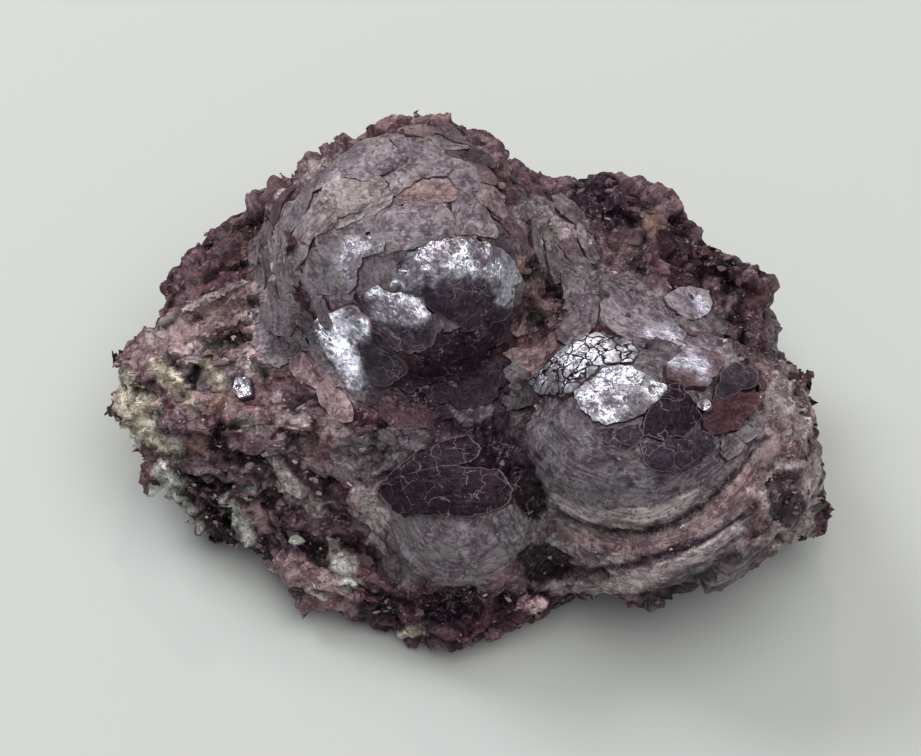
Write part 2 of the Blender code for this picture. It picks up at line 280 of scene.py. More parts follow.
RIGHT_BALL = {
    "mosaic": Plate("mosaic", (
        (526, 377), (543, 366), (557, 354), (570, 343), (579, 335), (595, 333), (610, 337), (625, 339),
        (637, 350), (633, 362), (618, 362), (602, 363), (593, 368), (583, 379), (574, 389), (562, 396),
        (543, 392), (530, 385),
    ), 0.17, glint=(590, 350), gleams=(
        (582, 346, 17), (601, 351, 17), (575, 364, 17), (570, 378, 12), (625, 354, 12), (541, 381, 11),
        (556, 364, 12),
    ), dull="grey"),
    "bright": Plate("silver", (
        (576, 389), (583, 379), (595, 370), (610, 366), (625, 367), (643, 373), (652, 381), (667, 385),
        (664, 394), (652, 404), (637, 415), (622, 421), (604, 423), (593, 417), (581, 408), (576, 398),
    ), 0.28, glint=(600, 382), gleams=(
        (603, 384, 24), (594, 398, 20), (613, 398, 20), (608, 413, 14), (629, 377, 17), (656, 388, 12),
    ), dull="grey"),
    "dark_left": Plate("violet", (
        (645, 421), (652, 404), (664, 396), (683, 392), (694, 402), (700, 415), (696, 427), (683, 435),
        (664, 438), (643, 436),
    ), 0.25),
    "dark_small": Plate("violet", (
        (661, 398), (670, 385), (681, 385), (686, 392), (685, 398), (673, 400),
    ), 0.35),
    "dark_striped": Plate("red", (
        (706, 418), (709, 405), (719, 396), (738, 393), (757, 393), (758, 403), (749, 415), (738, 426),
        (723, 433), (711, 433), (706, 426),
    ), 0.30, grain=25),
    "dark_high": Plate("smoky", (
        (713, 401), (723, 372), (733, 362), (749, 365), (756, 373), (754, 385), (736, 392), (716, 400),
    ), 0.35, grain=40),
    "white_flake": Plate("silver", (
        (698, 404), (708, 401), (710, 404), (704, 409),
    ), 0.45, MIRROR_FACING, 1.0),
    "dark_low": Plate("smoky", (
        (640, 443), (664, 443), (688, 439), (702, 432), (716, 438), (712, 452), (698, 466), (676, 474),
        (655, 470), (643, 458),
    ), 0.14, grain=-35),
    "dark_between": Plate("smoky", (
        (600, 430), (618, 428), (638, 424), (642, 436), (636, 446), (618, 450), (604, 444),
    ), 0.10, grain=-10),
    "olive": Plate("grey", (
        (719, 453), (726, 438), (741, 430), (756, 418), (761, 423), (759, 432), (746, 443), (738, 453),
        (729, 458),
    ), 0.20, grain=35),
    "shiny": Plate("sheen", (
        (667, 362), (683, 352), (700, 347), (715, 352), (725, 360), (719, 373), (706, 383), (683, 385),
        (671, 377),
    ), 0.30, glint=(690, 362), gleams=((673, 362, 9), (689, 359, 12), (702, 364, 9), (704, 376, 7)),
        dull="mauve"),
    "tan_flake": Plate("rose", (
        (503, 353), (517, 348), (537, 348), (553, 350), (548, 360), (532, 373), (521, 367), (512, 360),
    ), 0.30),
    "light_rim": Strip("pale", (
        ((552, 500), 3), ((572, 514), 6), ((608, 521), 7), ((645, 518), 8), ((675, 508), 7),
        ((700, 493), 4),
    ), 0.12),
    "lower_band": Strip("rose", (
        ((560, 534), 4), ((583, 541), 6), ((618, 547), 7), ((654, 546), 8), ((680, 536), 8),
        ((702, 520), 8),
        ((723, 499), 7), ((739, 476), 6), ((750, 456), 3),
    ), -0.15),
    "lower_crack": Strip("violet", (
        ((556, 516), 2), ((579, 527), 2), ((608, 535), 3), ((641, 536), 3), ((673, 526), 3),
        ((697, 510), 3),
        ((719, 491), 3), ((737, 470), 3), ((755, 449), 2),
    ), -0.5),
    "light_strip": Strip("rose", (
        ((682, 534), 3), ((710, 521), 6), ((733, 503), 8), ((753, 477), 9), ((768, 457), 5),
    ), 0.25),
    "dark_band": Strip("violet", (
        ((640, 560), 2), ((660, 556), 4), ((680, 549), 5), ((705, 541), 4), ((724, 531), 4),
        ((742, 518), 2),
    ), -0.45),
    "outer_band": Strip("pale", (
        ((560, 590), 6), ((599, 589), 9), ((629, 584), 10), ((659, 574), 9), ((684, 563), 7),
        ((704, 552), 5),
        ((724, 540), 4), ((742, 529), 3),
    ), 0.25),
    "edge_dark": Strip("red", (
        ((556, 572), 3), ((590, 572), 4), ((622, 567), 4), ((648, 562), 3),
    ), -0.3),
}

LOWER_BALL = {
    # The pits are sunk into the skin and coloured dark violet: painted shade in the crevices between and
    # under the balls
    "pit": Plate("violet", (
        (484, 428), (508, 432), (520, 446), (530, 468), (540, 492), (548, 512), (540, 522), (524, 512),
        (512, 500), (496, 470), (484, 450),
    ), -0.6),
    "pit_low": Plate("violet", (
        (520, 558), (536, 546), (556, 548), (572, 560), (570, 574), (552, 584), (532, 584), (520, 572),
    ), -0.6),
    "pit_left": Plate("violet", (
        (420, 596), (440, 590), (470, 590), (484, 598), (478, 616), (452, 624), (428, 618), (418, 606),
    ), -0.5),
    "grey_centre": Plate("grey", (
        (330, 444), (358, 437), (385, 428), (413, 424), (434, 441), (410, 459), (385, 468), (365, 480),
        (347, 488), (337, 478), (332, 461),
    ), 0.36, grain=15),
    "pink_left": Plate("pale", (
        (347, 492), (363, 485), (376, 492), (382, 504), (389, 509), (393, 518), (385, 526), (380, 533),
        (387, 548), (385, 557), (373, 548), (361, 533), (350, 518), (345, 505),
    ), 0.36, grain=-60),
    "cream_flake": Plate("cream", (
        (391, 639), (404, 629), (422, 627), (426, 637), (410, 642), (395, 642),
    ), 0.24),
    "brown_bottom": Plate("mauve", (
        (485, 577), (505, 566), (525, 562), (530, 574), (524, 588), (505, 594), (488, 588),
    ), 0.18),
    "brown_slope": Plate("mauve", (
        (280, 387), (298, 376), (323, 373), (339, 369), (344, 380), (351, 391), (344, 398), (330, 405),
        (316, 412), (298, 410), (282, 410),
    ), 0.24),
    "slope_a": Plate("violet", (
        (411, 364), (426, 350), (448, 336), (466, 326), (478, 332), (470, 350), (446, 358), (424, 372),
    ), 0.36),
    "slope_b": Plate("violet", (
        (430, 372), (450, 356), (476, 346), (500, 338), (508, 348), (490, 356), (474, 366), (456, 376),
    ), 0.30),
    "slope_c": Plate("smoky", (
        (440, 384), (466, 370), (488, 360), (504, 364), (496, 376), (476, 386), (456, 392), (444, 394),
    ), 0.24),
    "slope_d": Plate("violet", (
        (404, 396), (418, 384), (436, 382), (446, 396), (436, 410), (418, 414), (404, 408),
    ), 0.30),
    "slope_e": Plate("grey", (
        (448, 404), (470, 396), (492, 394), (500, 408), (486, 420), (464, 424), (450, 416),
    ), 0.24),
    "slope_f": Plate("red", (
        (356, 400), (374, 392), (394, 398), (402, 414), (390, 424), (368, 424), (356, 414),
    ), 0.24),
}

DARK_SHEETS = {
    "dark_sheet": Plate("violet", (
        (376, 487), (395, 478), (419, 470), (445, 465), (472, 468), (496, 470), (513, 490), (509, 503),
        (487, 513), (459, 516), (434, 513), (404, 517), (392, 508), (384, 500),
    ), 0.18),
    "dark_sheet_high": Plate("violet", (
        (380, 484), (400, 466), (420, 452), (444, 441), (466, 436), (482, 448), (470, 462), (440, 466),
        (412, 474), (394, 484),
    ), 0.36),
}

LEFT_WEDGE = {
    "ridge": Strip("rose", (
        ((122, 362), 10), ((142, 350), 12), ((164, 336), 14), ((188, 318), 14), ((214, 303), 12),
        ((240, 293), 9), ((266, 287), 5),
    ), 0.5),
    "ridge_high": Strip("pale", (
        ((150, 343), 3), ((172, 328), 4), ((194, 309), 5), ((218, 294), 5), ((244, 286), 4),
    ), 0.9),
    "front_rim": Strip("mauve", (
        ((222, 560), 6), ((248, 578), 9), ((276, 590), 9), ((304, 604), 6),
    ), 2.0),
    "cream_tip": Strip("cream", (
        ((119, 378), 6), ((119, 396), 8), ((127, 414), 9), ((139, 429), 9), ((153, 441), 7),
        ((167, 449), 4),
    ), 0.35),
    "streak_left": Strip("cream", (
        ((160, 366), 8), ((166, 377), 10), ((176, 387), 10), ((188, 398), 8), ((197, 406), 4),
    ), 0.45),
    "streak_right": Strip("cream", (((202, 364), 7), ((208, 373), 8), ((219, 382), 6)), 0.5),
    "square_flake": Plate("silver", (
        (234, 382), (236, 379), (248, 379), (250, 393), (239, 395), (236, 391),
    ), 0.8, MIRROR_FACING, 0.9),
    "far_knob": Plate("mauve", (
        (169, 314), (171, 298), (175, 277), (184, 256), (194, 250), (202, 250), (200, 262), (196, 275),
        (200, 292), (190, 300), (178, 307),
    ), 0.5, grain=70),
    "lip_shade": Strip("violet", (
        ((176, 470), 5), ((196, 486), 9), ((214, 512), 11), ((226, 540), 9), ((214, 532), 8),
    ), -0.5),
    "shade_low": Strip("violet", (
        ((280, 528), 5), ((300, 540), 9), ((318, 548), 8), ((330, 572), 4),
    ), -0.5),
    "shade_middle": Strip("violet", (
        ((214, 446), 5), ((232, 456), 8), ((252, 462), 6), ((262, 486), 5),
    ), -0.4),
    "lip_rim": Strip("red", (
        ((150, 466), 4), ((153, 485), 6), ((163, 505), 8), ((178, 525), 8), ((194, 542), 6),
        ((214, 556), 4),
    ), 2.1),
    "lip_patch_high": Strip("sage", (
        ((160, 466), 6), ((166, 482), 9), ((178, 496), 9), ((189, 509), 6),
    ), 0.5),
    "lip_patch_middle": Strip("sage", (
        ((224, 502), 6), ((233, 515), 9), ((242, 528), 10), ((249, 540), 6),
    ), 0.5),
    "lip_patch_low": Strip("sage", (
        ((216, 552), 6), ((234, 562), 8), ((252, 567), 8), ((270, 576), 7),
    ), 0.4),
    "long_lilac": Strip("pale", (
        ((268, 460), 8), ((278, 474), 9), ((290, 489), 9), ((304, 501), 10), ((316, 510), 7),
    ), 0.8),
    "long_violet": Strip("violet", (
        ((289, 462), 5), ((302, 473), 7), ((316, 484), 8), ((328, 493), 5),
    ), 0.6),
    "pink_blob": Plate("rose", (
        (251, 509), (262, 504), (266, 521), (264, 532), (256, 532), (249, 521),
    ), 0.6),
    "pink_large": Plate("rose", (
        (271, 550), (286, 552), (308, 558), (327, 567), (342, 578), (342, 594), (334, 598), (317, 593),
        (297, 589), (284, 576), (275, 563),
    ), 0.5, grain=-30),
    "pink_small": Plate("pale", (
        (329, 541), (336, 539), (349, 546), (356, 558), (353, 565), (340, 558), (330, 550),
    ), 0.5, grain=-40),
    "mauve_tip": Plate("mauve", (
        (155, 423), (164, 415), (182, 417), (191, 424), (182, 434), (170, 435), (158, 430),
    ), 0.5),
    "orange_tip": Plate("tan", (
        (182, 443), (194, 434), (205, 439), (201, 454), (192, 458), (184, 452),
    ), 0.4),
    "orange_high": Plate("tan", (
        (207, 410), (216, 398), (227, 397), (227, 408), (218, 413),
    ), 0.5),
    "light_middle": Plate("pale", (
        (234, 415), (249, 410), (258, 417), (255, 430), (243, 435),
    ), 0.5, grain=-50),
}

REAR_AND_RIGHT = {
    "rear_rim": Strip("mauve", (
        ((590, 188), 4), ((625, 186), 7), ((660, 190), 9), ((684, 208), 8), ((697, 234), 6),
    ), 1.6),
    "rear_slope": Strip("mauve", (
        ((468, 136), 4), ((500, 156), 7), ((536, 174), 8), ((572, 186), 5),
    ), 1.3),
    "under_right": Strip("pale", (
        ((596, 612), 6), ((632, 608), 10), ((672, 598), 11), ((706, 580), 9), ((736, 560), 6),
    ), -2.3),
    "beside_block": Strip("red", (((838, 500), 8), ((836, 520), 9), ((828, 538), 7)), -1.8),
    "under_front": Strip("red", (
        ((410, 648), 5), ((440, 652), 9), ((470, 650), 8), ((504, 642), 6),
    ), -1.8),
    "sheen": Plate("sheen", (
        (601, 303), (612, 296), (625, 292), (641, 299), (652, 310), (671, 320), (685, 333), (681, 345),
        (667, 350), (652, 347), (641, 341), (625, 337), (610, 327), (602, 316),
    ), 0.10, glint=(652, 330), gleams=((672, 332, 12), (661, 344, 9), (650, 334, 8)), dull="lilac"),
    "grey_a": Plate("lilac", (
        (517, 207), (529, 199), (546, 199), (552, 207), (546, 213), (534, 219), (525, 217),
    ), 0.5),
    "grey_b": Plate("pale", (
        (534, 222), (548, 211), (563, 219), (571, 232), (565, 242), (557, 245), (552, 257), (542, 245),
        (534, 234),
    ), 0.5),
    "dark_knob": Plate("violet", (
        (565, 192), (577, 184), (592, 182), (603, 182), (615, 188), (622, 199), (626, 215), (624, 226),
        (609, 230), (598, 222), (586, 211), (573, 207),
    ), 0.8),
    "tan_spot": Plate("tan", (
        (640, 208), (650, 210), (660, 218), (664, 228), (656, 236), (648, 226), (642, 218),
    ), 0.5),
    "grey_band": Plate("grey", (
        (555, 259), (577, 253), (596, 263), (607, 272), (622, 287), (607, 293), (596, 291), (580, 284),
        (565, 272),
    ), 0.5, grain=-30),
    "bright_rear": Plate("sheen", (
        (666, 297), (684, 287), (709, 291), (712, 303), (707, 316), (684, 315), (672, 308),
    ), 0.15, glint=(692, 300), gleams=((702, 308, 9), (697, 299, 6)), dull="lilac"),
    "right_dome": Plate("red", (
        (743, 282), (756, 275), (770, 285), (774, 293), (772, 301), (760, 314), (753, 320), (742, 294),
    ), 0.5),
    "right_dome_side": Plate("grey", (
        (775, 300), (782, 309), (785, 322), (784, 345), (776, 352), (768, 340), (766, 320), (771, 306),
    ), 0.4, grain=80),
    "block": Plate("pale", (
        (762, 512), (762, 486), (772, 466), (800, 460), (812, 455), (824, 464), (828, 480), (824, 500),
        (816, 518), (806, 536), (790, 542), (772, 534),
    ), 0.5),
    "block_face": Plate("violet", (
        (766, 500), (768, 482), (776, 470), (796, 468), (803, 478), (802, 500), (797, 520), (790, 532),
        (776, 526), (767, 514),
    ), -0.4),
    "low_light": Plate("pale", (
        (740, 541), (759, 536), (782, 542), (792, 546), (788, 552), (776, 552), (758, 549),
    ), 0.4, grain=0),
    "flaky": Plate("pale", (
        (768, 390), (774, 375), (791, 378), (799, 388), (808, 402), (817, 412), (816, 420), (809, 433),
        (803, 444), (792, 435), (779, 416), (770, 404),
    ), 0.6, grain=-50),
}

PLATE_GROUPS = {
    "upper_ball_plates": UPPER_BALL,
    "right_ball_plates": RIGHT_BALL,
    "lower_ball_plates": LOWER_BALL,
    "dark_sheets": DARK_SHEETS,
    "left_wedge_plates": LEFT_WEDGE,
    "rear_ridge_plates": REAR_AND_RIGHT,
}
LAID_GROUPS = ("upper_ball_plates", "right_ball_plates", "dark_sheets")


class Patch(NamedTuple):
    """A region of the photo, and the colours of the mica there with their shares."""

    outline: tuple
    shares: dict
    rough: float = 0.0  # how far it is broken, where it lies on a ball
    soft: float = 10.0  # pixels over which it fades out


PATCHES = (
    Patch((
        (205, 330), (260, 300), (300, 330), (350, 390), (345, 450), (330, 490), (250, 480), (180, 440),
        (170, 400), (180, 350),
    ), {"mauve": 4, "red": 1, "rose": 4, "pale": 2}),
    Patch((
        (112, 375), (118, 355), (150, 338), (180, 310), (225, 284), (285, 278), (270, 300), (200, 340),
        (150, 372),
    ), {"rose": 6, "pale": 2}),
    Patch((
        (105, 380), (125, 370), (150, 400), (175, 450), (160, 455), (130, 440),
    ), {"cream": 5, "sage": 2}),
    Patch((
        (180, 255), (215, 225), (250, 205), (270, 240), (262, 280), (220, 288), (185, 312), (168, 310),
    ), {"red": 4, "mauve": 3, "violet": 2, "tan": 1}),
    Patch((
        (245, 215), (260, 190), (300, 158), (345, 143), (330, 165), (285, 200), (270, 235),
    ), {"red": 5, "mauve": 4, "pale": 1}, 0.5),
    Patch((
        (350, 144), (370, 124), (400, 106), (435, 104), (462, 110), (470, 132), (440, 132), (405, 133),
        (376, 142),
    ), {"rose": 3, "red": 3, "mauve": 2}, 0.9),
    Patch((
        (255, 240), (280, 225), (310, 200), (310, 260), (305, 340), (290, 365), (262, 360), (255, 310),
    ), {"lilac": 3, "grey": 3, "pale": 1}),
    Patch((
        (300, 215), (320, 180), (360, 145), (410, 135), (455, 145), (485, 175), (500, 235), (450, 245),
        (390, 262), (300, 270),
    ), {"lilac": 6, "pale": 2, "rose": 1}),
    Patch((
        (385, 345), (420, 332), (520, 300), (535, 340), (515, 400), (520, 470), (470, 480), (400, 485),
        (370, 470), (400, 440), (380, 400),
    ), {"violet": 8, "smoke": 3, "red": 1}, 0.6),
    Patch((
        (505, 240), (530, 240), (575, 290), (560, 350), (520, 372), (500, 350), (520, 300),
    ), {"red": 4, "rose": 4, "mauve": 2, "tan": 1}, 1.0),
    Patch((
        (464, 140), (500, 150), (540, 170), (560, 200), (545, 240), (516, 232), (494, 200), (476, 166),
    ), {"mauve": 3, "violet": 3, "red": 2, "rose": 1}, 0.9),
    Patch((
        (510, 200), (560, 205), (610, 270), (640, 300), (600, 320), (560, 300), (530, 240),
    ), {"grey": 4, "lilac": 3, "mauve": 1}),
    Patch((
        (560, 185), (625, 175), (690, 195), (735, 270), (720, 300), (660, 290), (610, 250), (575, 220),
    ), {"violet": 4, "red": 4, "mauve": 3, "rose": 1}, 1.0),
    Patch((
        (595, 300), (660, 295), (720, 320), (740, 360), (700, 390), (640, 350), (600, 330),
    ), {"grey": 4, "lilac": 4}),
    Patch((
        (735, 275), (770, 275), (790, 330), (788, 372), (750, 370), (730, 330),
    ), {"red": 4, "grey": 2, "mauve": 2}, 1.0),
    Patch((
        (512, 390), (560, 345), (640, 330), (700, 380), (740, 430), (740, 480), (700, 520), (600, 525),
        (545, 500), (515, 450),
    ), {"grey": 6, "violet": 1}),
    Patch((
        (540, 520), (620, 530), (700, 500), (770, 440), (775, 500), (720, 550), (600, 605), (540, 600),
    ), {"pale": 4, "grey": 3, "red": 2}),
    Patch((
        (760, 470), (822, 455), (828, 490), (810, 540), (745, 555), (755, 510),
    ), {"red": 4, "rose": 4}, 1.0),
    Patch((
        (752, 362), (780, 358), (805, 375), (832, 412), (822, 460), (780, 462), (764, 440), (758, 400),
    ), {"rose": 3, "mauve": 3, "pale": 2, "red": 1}, 1.0),
    Patch((
        (385, 520), (450, 510), (540, 500), (545, 560), (500, 590), (430, 588), (390, 560),
    ), {"grey": 6, "lilac": 1}),
    Patch((
        (150, 455), (230, 470), (330, 500), (360, 560), (350, 610), (260, 590), (180, 535),
    ), {"violet": 4, "mauve": 3, "sage": 1, "rose": 2}),
    Patch((
        (340, 600), (400, 585), (540, 590), (600, 600), (500, 640), (390, 645),
    ), {"violet": 4, "red": 4, "rose": 1}, 1.0),
)


class Ball(NamedTuple):
    """One of the lump's balls: its centre and radii in millimetres, and the side on which it is free."""

    centre: tuple
    radii: tuple
    open_side: tuple
    layers: tuple  # how much bigger each outer layer is, as a share of the radius
    colour: str
    scaled: bool = True  # whether separate thin scales cover it
    pole: tuple = ()  # what its streaks run round, if not its open side


BALLS = (
    Ball((-4.8, 6.86, 26.3), (14.5, 14.0, 14.0), (0.10, -0.60, 0.80), (0.09, 0.22), "lilac"),
    Ball(
        (18.5, -10.64, 19.8), (14.2, 12.6, 12.6), (0.15, -0.60, 0.80), (0.13, 0.27, 0.43), "grey",
        scaled=False, pole=(-0.11, -0.20, 0.97),
    ),
    Ball(
        (0.7, -16.04, 14.9), (9.8, 9.2, 9.4), (0.0, -0.75, 0.65), (0.13,), "grey",
        scaled=False, pole=(-0.20, -0.43, 0.88),
    ),
    Ball((13.7, 16.36, 12.3), (10.5, 10.5, 10.5), (0.40, 0.85, 0.30), (), "mauve"),
    Ball((-18.3, 15.36, 11.8), (10.0, 9.5, 10.0), (-0.55, 0.80, 0.25), (), "mauve"),
)
SCALE_CONTRAST = 0.5  # how much a scale's own colour shows over that of its place

# The grain of the broken parts: plates fan out from a pole past the left tip
FAN_POLE = np.array((-63.3, -3.64, 11.3)) * MM
FAN_REACH = 45 * MM
GRAIN_STRETCH = 2.2


def pick_colour(default, name, description):
    return FloatVectorProperty(
        name=name, description=description, default=default, min=0.0, max=1.0, subtype="COLOR",
    )


class MicaColours(bpy.types.PropertyGroup):
    """The colours of the lump's plates and of the floor."""

    lilac: pick_colour((0.312, 0.272, 0.300), "Lilac", "Grey-lilac faces on top of the upper ball")
    pale: pick_colour((0.405, 0.360, 0.352), "Pale", "Pale pinkish strips")
    rose: pick_colour((0.325, 0.228, 0.228), "Rose", "Pinkish plates")
    mauve: pick_colour((0.172, 0.106, 0.126), "Mauve", "Mauve-brown broken plates")
    grey: pick_colour((0.184, 0.167, 0.180), "Grey", "Skins of the lower balls")
    # Smoke is also the painted shade of mirror plates away from their gleams
    smoke: pick_colour((0.054, 0.038, 0.058), "Smoke", "Plates that are seen through to the dark")
    violet: pick_colour((0.024, 0.010, 0.022), "Violet", "Dark, clear plates")
    red: pick_colour((0.108, 0.044, 0.058), "Red", "Red-brown layers")
    silver: pick_colour((0.62, 0.64, 0.69), "Silver", "Crumpled mirror plates")
    sheen: pick_colour((0.36, 0.35, 0.40), "Sheen", "Smoother shiny plates")
    cream: pick_colour((0.58, 0.54, 0.41), "Cream", "Feldspar crust at the left tip")
    sage: pick_colour((0.56, 0.60, 0.53), "Sage", "Greenish white crust on the lower lip")
    tan: pick_colour((0.27, 0.165, 0.125), "Tan", "Rusty grains and stains")
    floor: pick_colour((0.645, 0.66, 0.64), "Floor", "Pale matt floor")


class MicaSizes(bpy.types.PropertyGroup):
    """The sizes of the lump's fine surface, and the strength of its light."""

    skin_voxel: FloatProperty(
        name="Skin voxel", description="Fineness of the lump's own surface",
        default=0.42 * MM, min=0.3 * MM, unit="LENGTH",
    )
    outline_step: FloatProperty(
        name="Outline step", description="Length of a plate's edge pieces, in photo pixels",
        default=2.6, min=1.0,
    )
    scale_gap: FloatProperty(
        name="Scale gap", description="Least distance between the middles of a ball's scales",
        default=2.6 * MM, unit="LENGTH",
    )
    books: IntProperty(name="Books", description="How many broken books of plates", default=700, min=0)
    flakes: IntProperty(name="Flakes", description="How many small loose flakes", default=9000, min=0)
    key_power: FloatProperty(name="Key power", description="Soft window light", default=2.7, unit="POWER")
    ceiling_power: FloatProperty(
        name="Ceiling power", description="Broad light overhead", default=9.6, unit="POWER",
    )
    warm_power: FloatProperty(name="Warm power", description="Small warm lamp", default=0.3, unit="POWER")
    sky: FloatProperty(name="Sky", description="Strength of the light from all around", default=0.24)


class Value:
    """A shader socket that takes part in arithmetic: an expression on values adds its Math nodes."""

    def __init__(self, shader, socket):
        self.shader = shader
        self.socket = socket

    def math(self, operation, *others):
        return self.shader.node("ShaderNodeMath", [self, *others], operation=operation)

    def __add__(self, other):
        return self.math("ADD", other)

    def __sub__(self, other):
        return self.math("SUBTRACT", other)

    def __mul__(self, other):
        return self.math("MULTIPLY", other)

    def __rsub__(self, other):
        return self.shader.node("ShaderNodeMath", [other, self], operation="SUBTRACT")

    __radd__ = __add__
    __rmul__ = __mul__

    def above(self, low, high):
        """0 below low, 1 over high, and smooth between. With low over high it falls instead."""
        ends = {"From Min": low, "From Max": high}
        return self.shader.node(
            "ShaderNodeMapRange", {"Value": self, **ends}, interpolation_type="SMOOTHSTEP", clamp=True,
        )


class Shader:
    """Builds one material's nodes."""

    def __init__(self, name):
        self.material = bpy.data.materials.new(name)
        self.material.use_nodes = True
        self.tree = self.material.node_tree
        self.surface = self.tree.nodes["Principled BSDF"]

    def node(self, kind, sockets=(), output=0, **settings):
        """Adds a node, sets it, then sets or links its sockets, given in order or by name."""
        made = self.tree.nodes.new(kind)
        for name, value in settings.items():
            setattr(made, name, value)
        pairs = sockets.items() if isinstance(sockets, dict) else enumerate(sockets)
        for key, value in pairs:
            self.feed(made.inputs[key], value)
        return Value(self, made.outputs[output])

    def feed(self, socket, value):
        if isinstance(value, Value):
            self.tree.links.new(value.socket, socket)
        else:
            socket.default_value = value

    def attribute(self, name, output="Fac"):
        return self.node("ShaderNodeAttribute", output=output, attribute_name=name)

    def vector(self, operation, *sockets, output=0):
        return self.node("ShaderNodeVectorMath", sockets, output, operation=operation)

    def blend(self, share, first, second):
        """A colour between two colours."""
        made = self.tree.nodes.new("ShaderNodeMix")
        made.data_type = "RGBA"
        for name, value in (("Factor_Float", share), ("A_Color", first), ("B_Color", second)):
            self.feed(next(s for s in made.inputs if s.identifier == name), value)
        return Value(self, next(s for s in made.outputs if s.identifier == "Result_Color"))

    def noise(self, where, scale, detail=4.0, rough=0.55):
        return self.node(
            "ShaderNodeTexNoise", {"Vector": where, "Scale": scale, "Detail": detail, "Roughness": rough},
        )

    def tilted_cells(self, where, scale, tilt):
        """A height that leans another way in each cell of a Voronoi pattern, as flat flakes do."""
        made = self.tree.nodes.new("ShaderNodeTexVoronoi")
        self.feed(made.inputs["Vector"], where)
        made.inputs["Scale"].default_value = scale
        middle = Value(self, made.outputs["Position"])
        shade = Value(self, made.outputs["Color"])
        arm = self.vector("SUBTRACT", where, middle)
        lean = self.vector("SUBTRACT", shade, (0.5, 0.5, 0.5))
        draw = self.vector("DOT_PRODUCT", shade, (0.0, 1.0, 0.0), output="Value")
        return self.vector("DOT_PRODUCT", arm, lean, output="Value") * tilt, draw


def mica_material(name):
    """Pearly mica. Colour, mirror share, cracks, rim and streak directions come from the mesh."""
    shader = Shader(name)
    place = shader.node("ShaderNodeTexCoord", output="Object")
    tint = shader.attribute("tint", "Color")
    foil = shader.attribute("foil")
    cracked = shader.attribute("cracked")
    rim = shader.attribute("rim")
    streaks = shader.attribute("streaks")
    threads = shader.attribute("threads")
    grain = shader.attribute("grain", "Vector")

    fine = shader.vector("MULTIPLY", grain, (420.0, 5200.0, 5200.0))
    lines = shader.noise(fine, 1.0, 2.0, 0.6)
    coarse = shader.vector("MULTIPLY", grain, (160.0, 1500.0, 1500.0))
    bands = shader.noise(coarse, 1.0, 2.0, 0.5)
    mottle = shader.noise(place, 420.0, 4.0, 0.6)
    grit = shader.noise(place, 2600.0, 2.0, 0.6)

    warp = shader.node(
        "ShaderNodeTexNoise", {"Vector": place, "Scale": 700.0, "Detail": 2.0}, output="Color",
    )
    bent = shader.vector("MULTIPLY_ADD", warp, (0.0016, 0.0016, 0.0016), place)
    cracks = shader.node(
        "ShaderNodeTexVoronoi", {"Vector": bent, "Scale": 560.0}, feature="DISTANCE_TO_EDGE",
    )
    thread = (1.0 - cracks.above(0.0, 0.035)) * mottle.above(0.44, 0.56) * threads
    split = (1.0 - cracks.above(0.01, 0.07)) * cracked
    crease = (1.0 - cracks.above(0.0, 0.08)) * (1.0 - mottle.above(0.42, 0.56)) * 0.6

    large, _ = shader.tilted_cells(bent, 850.0, 0.34)
    small, draw = shader.tilted_cells(bent, 2400.0, 0.40)
    dark = shader.vector("MULTIPLY", tint, (0.30, 0.22, 0.27))
    light = shader.vector("MULTIPLY_ADD", tint, (1.50, 1.42, 1.46), (0.014, 0.009, 0.012))
    dim = shader.vector("MULTIPLY", tint, (0.58, 0.50, 0.55))
    body = shader.blend(mottle.above(0.36, 0.58), dim, tint)
    body = shader.blend(grit.above(0.54, 0.72) * 0.6, body, light)
    body = shader.blend((1.0 - grit.above(0.28, 0.46)) * 0.6, body, dark)
    body = shader.blend(draw.above(0.72, 0.95) * 0.7, body, light)
    body = shader.blend((1.0 - draw.above(0.06, 0.30)) * 0.7, body, dark)
    body = shader.blend(lines.above(0.50, 0.66) * streaks, body, light)
    body = shader.blend(bands.above(0.50, 0.64) * streaks * 0.8, body, dark)
    body = shader.blend(crease, body, dark)
    pale_edge = shader.vector("MULTIPLY_ADD", tint, (0.7, 0.66, 0.66), (0.22, 0.18, 0.175))
    bright = mottle.above(0.28, 0.46)
    shine = foil * bright
    body = shader.blend((1.0 - bright) * foil.above(0.6, 0.9) * 0.85, body, (0.085, 0.062, 0.098, 1.0))
    body = shader.blend(rim, body, pale_edge)
    body = shader.blend(thread * 0.85, body, pale_edge)
    body = shader.blend(split, body, (0.012, 0.008, 0.011, 1.0))
    shader.feed(shader.surface.inputs["Base Color"], body)

    shader.feed(shader.surface.inputs["Roughness"], 0.54 - shine * 0.26 + grit * 0.08)
    shader.feed(shader.surface.inputs["Metallic"], shine * 0.85 + 0.04)
    shader.surface.inputs["Specular IOR Level"].default_value = 0.22
    shader.surface.inputs["IOR"].default_value = 1.56

    folds = shader.noise(place, 600.0, 3.0, 0.62) * 0.00045
    slope = shader.vector("DOT_PRODUCT", place, shader.attribute("lean", "Vector"), output="Value")
    height = (large + small) * (foil * 0.7 + 0.35) + folds + slope
    height = height + lines * streaks * 0.00012 + bands * streaks * 0.00022 - split * 0.00015
    relief = shader.node("ShaderNodeBump", {"Strength": 1.0, "Distance": 1.0, "Height": height})
    shader.feed(shader.surface.inputs["Normal"], relief)
    return shader.material


def floor_material(colour):
    shader = Shader("pale_floor")
    shader.surface.inputs["Base Color"].default_value = (*colour, 1.0)
    shader.surface.inputs["Roughness"].default_value = 0.85
    shader.surface.inputs["Specular IOR Level"].default_value = 0.2
    return shader.material


def coordinates(mesh):
    found = np.empty(len(mesh.vertices) * 3)
    mesh.vertices.foreach_get("co", found)
    return found.reshape(-1, 3)


def normals(mesh):
    found = np.empty(len(mesh.vertices) * 3)
    mesh.vertex_normals.foreach_get("vector", found)
    return found.reshape(-1, 3)


def set_coordinates(mesh, points):
    mesh.vertices.foreach_set("co", points.astype(np.float32).ravel())
    mesh.update()


